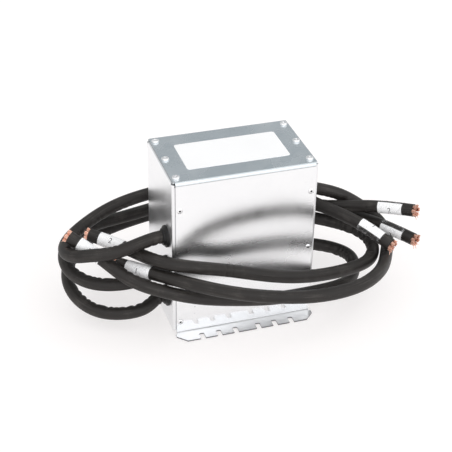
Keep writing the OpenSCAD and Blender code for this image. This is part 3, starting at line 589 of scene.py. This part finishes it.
def copper_end(name, seed):
    """All wires of one bared end, as one mesh of thin closed tubes. The lays are turns of the
    helices in radians per metre, SPLAY is how fast they open, and the reaches are how far the
    bundles stick out."""
    rng = np.random.default_rng(seed)
    line = lines[name]
    tangent, side, other = (values[-1] for values in frames[name])
    places = bundle_places()
    bundles, wires = 7, len(places)
    ring = np.r_[0.0, np.full(6, BUNDLE_RING)][:, None, None]
    turn = np.r_[0.0, round_angles(6) + rng.uniform(0, 1)][:, None, None]
    reach = np.r_[MIDDLE_REACH, rng.uniform(*BUNDLE_REACH, 6)][:, None]
    reach = reach + rng.uniform(-CUT_SPREAD, CUT_SPREAD, (bundles, wires))
    t = np.linspace(0, 1, COPPER_ROWS)[None, None] * reach[..., None]
    splay = 1 + SPLAY * t * rng.uniform(*SPLAY_SPREAD, (bundles, 1, 1))
    rope_angle = turn + ROPE_LAY * t
    wire_r = places[None, :, 0, None] * (1 + SPLAY * t)
    wire_angle = places[None, :, 1, None] + BUNDLE_LAY * t
    wire_angle = wire_angle + rng.uniform(0, 2 * np.pi, (bundles, 1, 1))
    x = ring * splay * np.cos(rope_angle) + wire_r * np.cos(wire_angle)
    y = ring * splay * np.sin(rope_angle) + wire_r * np.sin(wire_angle)
    centre = line[-1] + t[..., None] * tangent + x[..., None] * side + y[..., None] * other
    around = round_angles(WIRE_SIDES)[:, None]
    skin = np.cos(around) * side + np.sin(around) * other
    points = centre[..., None, :] + WIRE_RADIUS * skin
    count = bundles * wires
    points = points.reshape(count, COPPER_ROWS * WIRE_SIDES, 3)
    one = tube_faces(COPPER_ROWS, WIRE_SIDES)
    return join_parts([(points[k], one) for k in range(count)] + stray_wires(name, rng))

# %% Stray wires
STRAY_ROWS = 9
STRAY_ALONG, ALONG_POWER = 0.0045, 0.6
STRAY_FROM, STRAY_OUT, OUT_POWER = 0.0052, (0.003, 0.00525), 1.7
STRAY_FAN = (-0.5, 0.0, 0.5)


def stray_wires(name, rng):
    """A few wires that were bent away when the jacket was cut: arcs from the rim outwards, with
    way along the lead = 4.5 mm s^0.6 and way out = 5.2 mm + a random length x s^1.7."""
    tangent = frames[name][0][-1]
    down = np.array([0, 0, -1.0])
    down -= (down @ tangent) * tangent
    down /= np.linalg.norm(down)
    across = np.cross(tangent, down)
    s = np.linspace(0, 1, STRAY_ROWS)[:, None]
    angle = np.tile(round_angles(WIRE_SIDES), (STRAY_ROWS, 1))
    radius = np.full_like(angle, WIRE_RADIUS)
    parts = []
    for fan in STRAY_FAN:
        lean = down * math.cos(fan) + across * math.sin(fan)
        out = STRAY_FROM + rng.uniform(*STRAY_OUT) * s ** OUT_POWER
        path = lines[name][-1] + STRAY_ALONG * s ** ALONG_POWER * tangent + out * lean
        _, side, other = carried_frame(path)
        skin = round_points(path, side, other, radius, angle)
        parts.append((skin.reshape(-1, 3), tube_faces(STRAY_ROWS, WIRE_SIDES)))
    return parts


coppers = {}
for number, name in enumerate(LEADS):
    coppers[name] = make_piece(name.replace("lead", "copper"), *copper_end(name, 50 + number))
    dress(coppers[name], "bare_copper", name.replace("lead", "strands"))

print(len(LEADS), "cords declared")

# %% [markdown]
# The lid is held by six pan-head screws with a six-lobed recess, and each panel by six
# blind rivets. Both are turned profiles: rows along the profile, columns round the axis.
# The Screw modifier turns a profile too, but it can't make the recess, whose rows change
# from a circle to the lobed outline. The profile starts at the hidden tip and ends in the
# recess, so that its faces look outwards.

# %% Screws and rivets
TURNED_SIDES = 48
MM = 0.001


def turned(profile, lobes=None):
    """Points of a profile of (radius, height) pairs turned round Z. lobes gives each row's share
    of a six-lobed wave in its radius."""
    profile = np.array(profile)
    angle = round_angles(TURNED_SIDES)
    lobing = np.zeros(len(profile)) if lobes is None else np.array(lobes)
    radius = profile[:, :1] * (1 + lobing[:, None] * np.cos(6 * angle)[None])
    height = np.broadcast_to(profile[:, 1:], radius.shape)
    points = np.stack([radius * np.cos(angle), radius * np.sin(angle), height], axis=-1)
    return points.reshape(-1, 3), tube_faces(len(profile), TURNED_SIDES)


def arc(centre, radius, start, stop, count):
    """(radius, height) pairs of an arc about a centre, from one angle to another in degrees."""
    a = np.radians(np.linspace(start, stop, count))
    return [(centre[0] + radius * math.cos(k), centre[1] + radius * math.sin(k)) for k in a]


def screw_shape():
    """Pan head 8 mm across and 2.4 mm high on a 4 mm shank. The profiles are in mm, and the
    points that it returns in metres."""
    shank = [(0.2, -8.9), (1.4, -8.9), (1.95, -8.3), (1.95, 0.0)]
    head = [(3.7, 0.0), (3.95, 0.06), (4.0, 0.2), (4.0, 0.75)]
    dome = arc((2.55, 0.9), 1.45, 0, 84, 9)
    recess = [(1.75, 2.39), (1.42, 2.36), (1.34, 2.25), (1.28, 1.2), (1.1, 1.02), (0.2, 0.96)]
    profile = shank + head + dome + recess
    lobes = [0] * (len(shank) + len(head) + len(dome) + 1) + [0.10, 0.13, 0.14, 0.14, 0.0]
    points, faces = turned(profile, lobes)
    return points * MM, faces


def rivet_shape():
    """Dome head 6.6 mm across with the hole that the mandrel left, and the bulb behind the
    sheets. The last rows are the broken mandrel, deep in the hole. Also the row from which
    the hole's wall takes painted shade and the mandrel its dark steel."""
    blind = [(0.3, -6.0), (1.7, -6.0), (2.2, -5.7), (2.4, -5.2), (2.35, -4.0), (1.62, -3.1),
             (1.6, 0.0)]
    rim = [(3.1, 0.0), (3.26, 0.04), (3.3, 0.14), (3.26, 0.28)]
    dome = [(3.0, 0.52), (2.65, 0.76), (2.25, 0.96), (1.8, 1.08), (1.4, 1.1), (1.22, 1.06)]
    hole = [(1.12, 0.95), (1.1, 0.7), (1.1, -1.4), (0.9, -1.45), (0.5, -1.3), (0.15, -1.36)]
    points, faces = turned(blind + rim + dome + hole)
    hole_shade_from = len(blind) + len(rim) + len(dome) + 1
    return points * MM, faces, hole_shade_from


def stand_on(points, place, axis, spin):
    """Points turned by spin about Z, then with Z along an axis, then moved to a place."""
    to_axis = np.array(Vector((0, 0, 1)).rotation_difference(Vector(axis)).to_matrix())
    c, s = math.cos(spin), math.sin(spin)
    about_z = np.array([[c, -s, 0], [s, c, 0], [0, 0, 1]])
    return points @ (to_axis @ about_z).T + np.array(place)

# %% Make the lid screws
LID_TOP = 0.189
SCREW_PLACES = [(x, y) for x in (-0.0728, 0.0728) for y in (-0.0404, 0.0, 0.0404)]
points, faces = screw_shape()
spins = np.random.default_rng(7).uniform(0, math.pi, len(SCREW_PLACES))
heads = [
    (stand_on(points, (x, y, LID_TOP), (0, 0, 1), spin), faces)
    for (x, y), spin in zip(SCREW_PLACES, spins)
]
lid_screws = make_piece("pan_head_screws", *join_parts(heads), crease=35)
dress(lid_screws, "plated_steel", "lid_screws")

# %% Make the rivets
PANEL_FACE = 0.0515
RIVET_PLACES = [(x, z) for x in (-0.072, 0.072) for z in (0.015, 0.0855, 0.156)]
points, faces, hole_shade_from = rivet_shape()
number = np.arange(len(faces))
tip_cap = len(faces) - 2
# Near black in the hole: painted shade on the hole's aluminium wall, and the mandrel's dark steel.
dark = (number // TURNED_SIDES >= hole_shade_from) & (number != tip_cap)
print(int(dark.sum()), "dark faces in each rivet's hole")
rivets = []
for panel_side, sign in (("front", -1), ("rear", 1)):
    parts = [
        (stand_on(points, (x, sign * PANEL_FACE, z), (0, sign, 0), 0), faces)
        for x, z in RIVET_PLACES
    ]
    piece = make_piece(f"{panel_side}_blind_rivets", *join_parts(parts), crease=35)
    dress(piece, "rivet_aluminium", f"{panel_side}_rivets")
    hole_shade_faces = np.tile(dark, len(RIVET_PLACES)).astype(int)
    piece.data.polygons.foreach_set("material_index", hole_shade_faces)
    rivets.append(piece)

# %% [markdown]
# The folds of an end plate stop short of its corners, or they would run into each other.
# On the real plate only a small dark hole is left there, because the upright fold goes
# nearly up to the lid. A short bent tongue carries each fold on. It could be cut from a
# bent tube, but a quarter of a ring between two heights is that shape already.

# %% Corner tongues
FOLD_RADIUS, SHEET = 0.003, 0.0015
TONGUE_Z = (0.1828, 0.1863)
TONGUE_STEPS = 13
CORNERS = [(0.077, 0.047, 0), (-0.077, 0.047, 90), (-0.077, -0.047, 180), (0.077, -0.047, 270)]


def bent_tongue(x, y, start):
    """Quarter of a ring about an upright axis at x, y: an outer and an inner arc make its
    outline, which is repeated at both heights."""
    bend = np.radians(start + np.linspace(0, 90, TONGUE_STEPS))
    angle = np.r_[bend, bend[::-1]]
    radius = np.repeat([FOLD_RADIUS, FOLD_RADIUS - SHEET], TONGUE_STEPS)
    outline = np.stack([x + radius * np.cos(angle), y + radius * np.sin(angle)], axis=-1)
    levels = [np.column_stack([outline, np.full(len(outline), z)]) for z in TONGUE_Z]
    return np.concatenate(levels), tube_faces(2, len(outline))


tongue_parts = [bent_tongue(*corner) for corner in CORNERS]
tongues = make_piece("corner_tongues", *join_parts(tongue_parts), crease=35)
dress(tongues, "galvanised_sheet")

# %% [markdown]
# Finishes are node materials. Each reads the piece's own Object coordinates in metres,
# so a noise of scale 1000 has grains of about a millimetre. The helpers below add one
# node with its settings, and the few kinds of node that the finishes here need: a sum, a
# vector's axes, a noise, a range, a blend of two colours, a relief, and the shader itself.

# %% Shader helpers


def empty_tree(owner):
    """The node tree of a material or a world, with nothing in it."""
    owner.use_nodes = True
    owner.node_tree.nodes.clear()
    return owner.node_tree


def new_material(name):
    """An empty node material, and its tree."""
    material = bpy.data.materials.new(name)
    return material, empty_tree(material)


def add(tree, kind, sockets=None, **settings):
    """One shader node. A socket's value is a number, a colour, or another node's output."""
    node = tree.nodes.new(kind)
    for key, value in settings.items():
        setattr(node, key, value)
    for key, value in (sockets or {}).items():
        if isinstance(value, bpy.types.NodeSocket):
            tree.links.new(value, node.inputs[key])
        else:
            node.inputs[key].default_value = value
    return node


def calc(tree, operation, *values):
    """One Math node."""
    return add(tree, "ShaderNodeMath", dict(enumerate(values)), operation=operation).outputs[0]


def axes_of(tree, vector):
    """X, Y and Z of a vector."""
    return add(tree, "ShaderNodeSeparateXYZ", {0: vector}).outputs


def place_on(tree, stretch_by=(1, 1, 1)):
    """Object coordinates, stretched."""
    place = add(tree, "ShaderNodeTexCoord").outputs["Object"]
    return add(tree, "ShaderNodeMapping", {"Vector": place, "Scale": stretch_by}).outputs[0]


def noise(tree, place, scale, detail=2.0):
    """Cloudy values between 0 and 1."""
    sockets = {"Vector": place, "Scale": scale, "Detail": detail}
    return add(tree, "ShaderNodeTexNoise", sockets).outputs[0]


def ramp(tree, value, low, high, to_low=0.0, to_high=1.0):
    """The value between low and high, spread from to_low to to_high."""
    sockets = {"Value": value, "From Min": low, "From Max": high,
               "To Min": to_low, "To Max": to_high}
    return add(tree, "ShaderNodeMapRange", sockets).outputs[0]


def summed(tree, *parts):
    """Sum of values, each times its share."""
    total = 0.0
    for value, share in parts:
        total = calc(tree, "MULTIPLY_ADD", value, share, total)
    return total


def mixed(tree, share, first, second):
    """Blend of two colours, the share being that of the second."""
    first, second = [c if isinstance(c, bpy.types.NodeSocket) else (*c, 1) for c in (first, second)]
    return add(tree, "ShaderNodeMix", {0: share, 6: first, 7: second}, data_type="RGBA").outputs[2]


def bump(tree, height, depth, strength=1.0, under=None):
    """Small relief from a height, depth metres deep, laid over another relief."""
    sockets = {"Height": height, "Distance": depth, "Strength": strength}
    if under is not None:
        sockets["Normal"] = under
    return add(tree, "ShaderNodeBump", sockets).outputs[0]


def surface(tree, **sockets):
    """A Principled shader with the named sockets, joined to the material's output."""
    named = {key.replace("_", " "): value for key, value in sockets.items()}
    shader = add(tree, "ShaderNodeBsdfPrincipled", named)
    add(tree, "ShaderNodeOutputMaterial", {"Surface": shader.outputs[0]})

# %% [markdown]
# Galvanised sheet is steel with a thin coat of zinc. The zinc froze as flat crystals, the
# spangle, which differ a little in tone. Rolled over with oil, it mirrors dark things as
# soft grey bands with a sandy grain. One even grey metal would look like foil, so the
# shader adds a Voronoi pattern for the crystals, clouds of thin oxide and a very fine
# grain as relief to a metal of low roughness.
# A panel's mirror is dullest round the middle of its height, where hands and leads rub
# it. Its folds are painted grey as shade and a dark reflection in the bend, so that the
# concave bend to the foot shows as a grey line.

# %% Sheet metal
FOOT_START = (0.0548, 0.0552)
# Near black on cut edges: partly bare steel, partly painted shade of the seams beside them.
CUT_STEEL_AND_SEAM_SHADE = (0.17, 0.17, 0.18)
SPECK_GREY = (0.25, 0.25, 0.26)
# Painted shade and reflection: the grey laid over a panel's folds, and how much of it.
FOLD_SHADE_GREY, FOLD_SHADE_SHARE = (0.42, 0.43, 0.45), 0.6
FOOT_METALLIC = 0.5
GRIT_SLOPE = 0.046
# How fine the patterns are, in cells per metre.
CLOUDS, GRAIN, SPECKS, ROLLING = 16.0, 900.0, 330.0, (30.0, 30.0, 900.0)
# Two steps in a panel's roughness: from which height to which, and what it adds at each.
ABOVE_FOOT = (0.04, 0.08, -0.07, 0.08)
BELOW_LID = (0.100, 0.130, 0.0, -0.13)


def sheet_regions(tree):
    """Three shares for a folded sheet. The first is 1 on its cut edges, which take painted
    seam shade: faces that look along X, and on the foot also those that don't look up or
    down. The second is 1 where a face looks up or down, and the third where it is part of a
    bend, which takes painted shade."""
    face = add(tree, "ShaderNodeNewGeometry").outputs["True Normal"]
    looks, place = axes_of(tree, face), axes_of(tree, place_on(tree))
    sideways, upright, out = [
        calc(tree, "ABSOLUTE", value) for value in (looks[0], looks[2], place[1])
    ]
    on_foot = ramp(tree, out, *FOOT_START)
    rim = summed(tree, (on_foot, ramp(tree, upright, 0.4, 0.6, 1.0, 0.0)))
    across = ramp(tree, sideways, 0.85, 0.95)
    cut = calc(tree, "MAXIMUM", across, rim)
    rising = ramp(tree, upright, 0.1, 0.2)
    falling = ramp(tree, upright, 0.8, 0.9, 1.0, 0.0)
    fold = calc(tree, "MINIMUM", rising, falling)
    return cut, ramp(tree, upright, 0.5, 0.9), fold


def rubbed(tree, place, roughness):
    """A panel's roughness by its height in metres: + a step that rises above the foot, and + a
    step that falls below the lid, which leaves the middle dullest."""
    height = axes_of(tree, place)[2]
    above_foot, below_lid = [ramp(tree, height, *step) for step in (ABOVE_FOOT, BELOW_LID)]
    return summed(tree, (roughness, 1.0), (above_foot, 1.0), (below_lid, 1.0))


def sheet_metal(name, light, dark, roughness, crystal=105.0, sandy=0.13, sand=2300.0,
                cut_edge_steel_and_shade=False, panel=False):
    """Zinc-coated sheet: tone = crystals + clouds + fine grain + rolling marks, between a dark
    and a light zinc. sandy is the grain's share in the tone, and sand is how fine the relief
    is. A sheet with dark cut edges shows them near black: partly dull bare steel, partly
    painted shade of the seam beside them. A panel is one that is also rubbed, has its folds
    greyed as painted shade and reflection, and is less metallic where it looks up, because
    overhead light scatters in its zinc."""
    material, tree = new_material(name)
    place = place_on(tree)
    cells = {"Vector": place, "Scale": crystal}
    crystals = add(tree, "ShaderNodeTexVoronoi", cells).outputs["Color"]
    crystal_tone = add(tree, "ShaderNodeSeparateColor", {"Color": crystals}).outputs[0]
    clouds = noise(tree, place, CLOUDS, 3.0)
    grain = ramp(tree, noise(tree, place, GRAIN, 3.0), 0.35, 0.65)
    grit = noise(tree, place, sand)
    rolled = noise(tree, place_on(tree, ROLLING), 1.0)
    tone = summed(tree, (crystal_tone, 0.12), (clouds, 0.45), (grain, sandy), (rolled, 0.15))
    matt = summed(tree, (clouds, 0.16), (crystal_tone, 0.015))
    specks = ramp(tree, noise(tree, place, SPECKS, 1.0), 0.77, 0.80, 0.0, 0.5)
    colour = mixed(tree, specks, mixed(tree, tone, dark, light), SPECK_GREY)
    gloss = ramp(tree, matt, 0.0, 0.2, roughness - 0.1, roughness + 0.1)
    metallic = 1.0
    if cut_edge_steel_and_shade or panel:
        cut, level, fold = sheet_regions(tree)
        # Cut edges darkened: bare steel, and painted shade of the seam.
        colour = mixed(tree, cut, colour, CUT_STEEL_AND_SEAM_SHADE)
    if panel:
        metallic = ramp(tree, level, 0.0, 1.0, 1.0, FOOT_METALLIC)
        gloss = rubbed(tree, place, gloss)
        # Painted shade: the panel's folds are greyed, as if shaded and mirroring something dark.
        colour = mixed(tree, summed(tree, (fold, FOLD_SHADE_SHARE)), colour, FOLD_SHADE_GREY)
    surface(
        tree,
        Base_Color=colour,
        Metallic=metallic,
        Roughness=gloss,
        Normal=bump(tree, grit, GRIT_SLOPE / sand, 0.8, bump(tree, clouds, 0.0006, 0.07)),
    )
    return material


ZINC = (0.99, 0.995, 1.0), (0.85, 0.86, 0.875)
LID_ZINC = (0.98, 1.0, 1.0), (0.64, 0.71, 0.76)
galvanised = sheet_metal("galvanised_sheet", *ZINC, 0.35)
panel_zinc = sheet_metal("galvanised_panel", *ZINC, 0.23, sand=1400.0, panel=True)
lid_zinc = sheet_metal("zinc_lid_sheet", *LID_ZINC, 0.28, crystal=80.0, sandy=0.09, cut_edge_steel_and_shade=True)
print("sheets:", galvanised.name, panel_zinc.name, lid_zinc.name)

# %% [markdown]
# The leads have a chlorinated rubber jacket: black-brown, satin, dusted with the talc
# that stops it from sticking. The dust gathers in streaks along the cable, so that
# pattern reads the jacket's own map, which is in metres along and round the cable.

# %% Rubber
STREAKS, RUBBER_CLOUDS, PORES = (22.0, 420.0, 1.0), 60.0, 1600.0
MOULD_CLOUDS, MOULD_PORES = 120.0, 2200.0


def jacket_rubber(name):
    """Rubber tone = clouds + streaks along the cable, and talc where a stretched noise is high."""
    material, tree = new_material(name)
    place = place_on(tree)
    own_map = add(tree, "ShaderNodeUVMap", uv_map="pattern").outputs[0]
    drawn_out = {"Vector": own_map, "Scale": STREAKS}
    lengthwise = add(tree, "ShaderNodeMapping", drawn_out).outputs[0]
    streaks = noise(tree, lengthwise, 1.0, 3.0)
    clouds = noise(tree, place, RUBBER_CLOUDS, 3.0)
    pores = noise(tree, place, PORES)
    tone = summed(tree, (clouds, 0.6), (streaks, 0.4))
    rubber = mixed(tree, tone, (0.009, 0.0075, 0.0065), (0.028, 0.024, 0.0215))
    dust = summed(tree, (streaks, 0.45), (clouds, 0.35), (pores, 0.2))
    talc = ramp(tree, dust, 0.51, 0.70, 0.0, 0.5)
    surface(
        tree,
        Base_Color=mixed(tree, talc, rubber, (0.115, 0.105, 0.095)),
        Roughness=ramp(tree, tone, 0.3, 0.7, 0.42, 0.6),
        Specular_IOR_Level=0.35,
        Normal=bump(tree, pores, 0.00008, 0.6, bump(tree, streaks, 0.00016, 0.6)),
    )
    return material


def grommet_rubber(name):
    """Moulded rubber: nearly black, a little glossier than the jackets, with mould dust."""
    material, tree = new_material(name)
    place = place_on(tree)
    clouds = noise(tree, place, MOULD_CLOUDS, 3.0)
    pores = noise(tree, place, MOULD_PORES)
    dust = ramp(tree, clouds, 0.35, 0.75)
    surface(
        tree,
        Base_Color=mixed(tree, dust, (0.006, 0.006, 0.006), (0.016, 0.015, 0.014)),
        Roughness=ramp(tree, clouds, 0.3, 0.7, 0.40, 0.55),
        Specular_IOR_Level=0.35,
        Normal=bump(tree, pores, 0.00005, 0.5),
    )
    return material


lead_rubber = jacket_rubber("lead_jacket")
moulded_rubber = grommet_rubber("grommet_rubber")
print("rubbers:", lead_rubber.name, moulded_rubber.name)

# %% [markdown]
# The marker's white field is matt printed vinyl. The wrap is clear vinyl: a closed thin
# film with a soft gloss. It is nearly invisible where it lies tight, and milky along its
# creases. Glass that bends light could do it, but a film this thin hardly bends any, so
# its opacity alone is enough. Crumpled film creases into flat facets, which is what a
# Voronoi pattern of cells and edges looks like.

# %% Marker films
WHITE_CLOUDS, FILM_CLOUDS, WEAR = 180.0, 160.0, 1500.0
SWIRL, SWIRL_PULL, FACETS = 110.0, (0.014, 0.014, 0.014), 150.0


def white_vinyl(name):
    """White vinyl with faint clouds and a fine grain."""
    material, tree = new_material(name)
    place = place_on(tree)
    clouds = noise(tree, place, WHITE_CLOUDS)
    surface(
        tree,
        Base_Color=mixed(tree, clouds, (0.97, 0.965, 0.96), (0.995, 0.995, 0.995)),
        Roughness=0.45,
        Normal=bump(tree, clouds, 0.0002, 0.3),
    )
    return material


def clear_vinyl(name):
    """Clear film: opacity = a thin haze + creases, which are the edges of facets, where a cloud
    lets them show. The facets, pulled out of shape by a noise, are its relief too."""
    material, tree = new_material(name)
    place = place_on(tree)
    swirl = {"Vector": place, "Scale": SWIRL, "Detail": 2.0}
    drift = add(tree, "ShaderNodeTexNoise", swirl).outputs["Color"]
    pull = {0: drift, 1: SWIRL_PULL, 2: place}
    pulled = add(tree, "ShaderNodeVectorMath", pull, operation="MULTIPLY_ADD").outputs[0]
    facets = {"Vector": pulled, "Scale": FACETS, "Randomness": 1.0}
    edges = add(tree, "ShaderNodeTexVoronoi", facets, feature="DISTANCE_TO_EDGE")
    facet = edges.outputs["Distance"]
    clouds = noise(tree, place, FILM_CLOUDS)
    crease = ramp(tree, facet, 0.0, 0.05, 0.20, 0.0)
    shown = ramp(tree, clouds, 0.40, 0.60)
    haze = ramp(tree, clouds, 0.50, 0.62, 0.01, 0.06)
    surface(
        tree,
        Base_Color=mixed(tree, clouds, (0.95, 0.95, 0.96), (0.99, 0.99, 1.0)),
        Roughness=ramp(tree, clouds, 0.3, 0.7, 0.10, 0.18),
        Alpha=summed(tree, (crease, shown), (haze, 1.0)),
        Normal=bump(tree, facet, 0.0012, 0.15),
    )
    return material


def print_ink(name):
    """Black thermal print, a little worn."""
    material, tree = new_material(name)
    wear = ramp(tree, noise(tree, place_on(tree), WEAR), 0.5, 0.8, 0.0, 0.5)
    surface(
        tree,
        Base_Color=mixed(tree, wear, (0.015, 0.015, 0.016), (0.2, 0.2, 0.2)),
        Roughness=0.6,
    )
    return material


marker_white = white_vinyl("marker_white_vinyl")
marker_clear = clear_vinyl("marker_clear_vinyl")
marker_ink = print_ink("marker_ink")
print("films:", marker_white.name, marker_clear.name, marker_ink.name)

# %% [markdown]
# The other finishes differ only in colour, gloss and grain, so one function makes them:
# two tones that drift into each other, a roughness that drifts with them, and a grain.

# %% Plain finishes


def plain_finish(name, first, second, metallic, roughness, cloud, grain, depth):
    """Two tones mixed by clouds, roughness that follows them, and a grain depth metres deep."""
    material, tree = new_material(name)
    place = place_on(tree)
    clouds = noise(tree, place, cloud, 3.0)
    grains = noise(tree, place, grain)
    tone = summed(tree, (clouds, 0.7), (grains, 0.3))
    surface(
        tree,
        Base_Color=mixed(tree, ramp(tree, tone, 0.3, 0.7), first, second),
        Metallic=metallic,
        Roughness=ramp(tree, tone, 0.3, 0.7, roughness, roughness + 0.1),
        Normal=bump(tree, grains, depth, 0.6),
    )
    return material


# Two tones, how metallic, roughness, scale of the clouds, scale and depth of the grain.
PLAIN_FINISHES = {
    "label_film": ((0.97, 0.965, 0.96), (0.995, 0.99, 0.985), 0.0, 0.32, 25, 1800, 1e-5),
    "plated_steel": ((0.86, 0.86, 0.87), (0.97, 0.97, 0.97), 1.0, 0.34, 300, 2600, 1e-5),
    "rivet_aluminium": ((0.84, 0.84, 0.85), (0.96, 0.96, 0.96), 1.0, 0.22, 300, 2200, 1e-5),
    # Near black: the mandrel's own dark steel, and painted shade on the wall of a rivet's hole.
    "mandrel_steel_and_hole_shade": ((0.02, 0.02, 0.02), (0.05, 0.045, 0.04), 0.3, 0.6, 600, 3000, 3e-5),
    "bare_copper": ((0.88, 0.45, 0.33), (1.0, 0.72, 0.58), 1.0, 0.22, 900, 3200, 1e-5),
    "tinned_copper": ((0.66, 0.64, 0.60), (0.80, 0.79, 0.76), 1.0, 0.26, 200, 1500, 2e-5),
    "coated_ferrite": ((0.07, 0.16, 0.20), (0.11, 0.22, 0.27), 0.0, 0.38, 90, 900, 8e-5),
    "enamelled_wire": ((0.40, 0.12, 0.04), (0.60, 0.22, 0.08), 0.7, 0.18, 80, 1200, 2e-5),
    "black_nylon": ((0.018, 0.018, 0.02), (0.04, 0.04, 0.042), 0.0, 0.5, 100, 1400, 6e-5),
    "white_nylon": ((0.72, 0.72, 0.68), (0.82, 0.81, 0.78), 0.0, 0.40, 100, 1200, 4e-5),
    "circuit_laminate": ((0.02, 0.13, 0.06), (0.04, 0.20, 0.09), 0.0, 0.34, 220, 1000, 4e-5),
    "standoff_brass": ((0.66, 0.48, 0.20), (0.80, 0.62, 0.30), 1.0, 0.24, 300, 1800, 1e-5),
    "capacitor_grey": ((0.52, 0.54, 0.56), (0.62, 0.64, 0.66), 0.0, 0.36, 120, 1400, 3e-5),
    "capacitor_blue": ((0.02, 0.10, 0.36), (0.05, 0.17, 0.46), 0.0, 0.24, 120, 1200, 2e-5),
    "resistor_body": ((0.52, 0.38, 0.22), (0.64, 0.50, 0.32), 0.0, 0.42, 400, 1600, 4e-5),
    "tap_insulation": ((0.42, 0.02, 0.02), (0.55, 0.05, 0.04), 0.0, 0.30, 150, 1400, 2e-5),
}
finishes = {name: plain_finish(name, *values) for name, values in PLAIN_FINISHES.items()}
finishes.update(
    galvanised_sheet=galvanised, zinc_lid_sheet=lid_zinc, grommet_rubber=moulded_rubber,
    lead_jacket=lead_rubber, marker_sleeve=marker_white,
)
print(len(finishes), "finishes")

# %% Give every piece its finish
own_finishes = {"front_panel": panel_zinc, "rear_panel": panel_zinc}
for entry in frame["record"]["subparts"]:
    node = frame["nodes"][entry["node"]]
    finish = own_finishes.get(entry["node"], finishes[entry["material_slot"]])
    if not node.material_slots:
        node.data.materials.append(finish)
    for material_slot in node.material_slots:
        material_slot.material = finish

dressed = [(lid_screws, finishes["plated_steel"]), (tongues, galvanised)]
for name in LEADS:
    dressed += [
        (jackets[name], lead_rubber), (fields[name], marker_white), (wraps[name], marker_clear),
        (digits[name], marker_ink), (coppers[name], finishes["bare_copper"]),
    ]
for piece in rivets:
    dressed += [(piece, finishes["rivet_aluminium"]), (piece, finishes["mandrel_steel_and_hole_shade"])]
for piece, finish in dressed:
    piece.data.materials.append(finish)

# %% [markdown]
# The studio is a large pale floor under a sky and one very broad light from above. The
# sky is white near the horizon and grey higher up, as in a room with a pale sweep and a
# darker ceiling: the upright panels mirror the white floor, and the lid, which mirrors
# the grey part, looks darker. In front of the box the sky stays pale all the way up. A
# narrow lamp would burn a white patch into the lid, so this one is as wide as a soft box
# close by. The floor is paper. For what the camera and the metal see, part of it glows,
# so that it is a little brighter than white, with a soft shadow left near the leads.

# %% Floor
FLOOR_REACH = 6.0
FLOOR_PAPER = (0.84, 0.82, 0.81, 1)
GLOW_TONE = (1.0, 0.975, 0.97, 1)
GLOW_STRENGTH, GLOW_SHARE = 1.38, 0.42
GLOWS_FOR = ("Is Camera Ray", "Is Glossy Ray", "Is Transmission Ray")

corners = [(x * FLOOR_REACH, y * FLOOR_REACH, 0) for x, y in ((-1, -1), (1, -1), (1, 1), (-1, 1))]
floor_mesh = bpy.data.meshes.new("floor")
floor_mesh.from_pydata(corners, [], [(0, 1, 2, 3)])
floor = add_object("floor", floor_mesh)

floor_material, tree = new_material("pale_floor")
paper = add(tree, "ShaderNodeBsdfDiffuse", {"Color": FLOOR_PAPER}).outputs[0]
lamp = {"Color": GLOW_TONE, "Strength": GLOW_STRENGTH}
glow = add(tree, "ShaderNodeEmission", lamp).outputs[0]
ray = add(tree, "ShaderNodeLightPath").outputs
seen = summed(tree, *((ray[kind], 1.0) for kind in GLOWS_FOR))
share = ramp(tree, seen, 0.0, 1.0, 0.0, GLOW_SHARE)
blend = add(tree, "ShaderNodeMixShader", {0: share, 1: paper, 2: glow}).outputs[0]
add(tree, "ShaderNodeOutputMaterial", {"Surface": blend})
floor.data.materials.append(floor_material)
print("floor", 2 * FLOOR_REACH, "m wide")

# %% Sky and light
SKY_LEVEL = (0.96, 0.96, 0.96, 1)
SKY_TOP = (0.16, 0.16, 0.16, 1)
SKY_BETWEEN = {0.16: (0.91, 0.91, 0.91), 0.40: (0.39, 0.415, 0.435), 0.70: (0.39, 0.41, 0.42)}
SKY_FRONT, FRONT_FROM = (0.84, 0.84, 0.86), (-0.15, -0.55)
LIGHT_STRENGTH, LIGHT_WIDTH = 1.88, math.radians(128)
LIGHT_FROM = Vector((0.08, -0.40, 1.0))

world = bpy.data.worlds.new("studio")
bpy.context.scene.world = world
tree = empty_tree(world)
direction = add(tree, "ShaderNodeTexCoord").outputs["Generated"]
towards = axes_of(tree, direction)
sky = add(tree, "ShaderNodeValToRGB", {"Fac": towards[2]})
sky.color_ramp.elements[0].color = SKY_LEVEL
sky.color_ramp.elements[1].color = SKY_TOP
for position, tone in SKY_BETWEEN.items():
    sky.color_ramp.elements.new(position).color = (*tone, 1)
front = ramp(tree, towards[1], *FRONT_FROM)
studio = mixed(tree, front, sky.outputs[0], SKY_FRONT)
background = add(tree, "ShaderNodeBackground", {"Color": studio, "Strength": 1.0})
add(tree, "ShaderNodeOutputWorld", {"Surface": background.outputs[0]})

light_data = bpy.data.lights.new("overhead_light", "SUN")
light_data.energy = LIGHT_STRENGTH
light_data.angle = LIGHT_WIDTH
light = add_object("overhead_light", light_data)
light.rotation_euler = LIGHT_FROM.to_track_quat("Z", "Y").to_euler()
print("light", LIGHT_STRENGTH, "from", LIGHT_FROM[:])
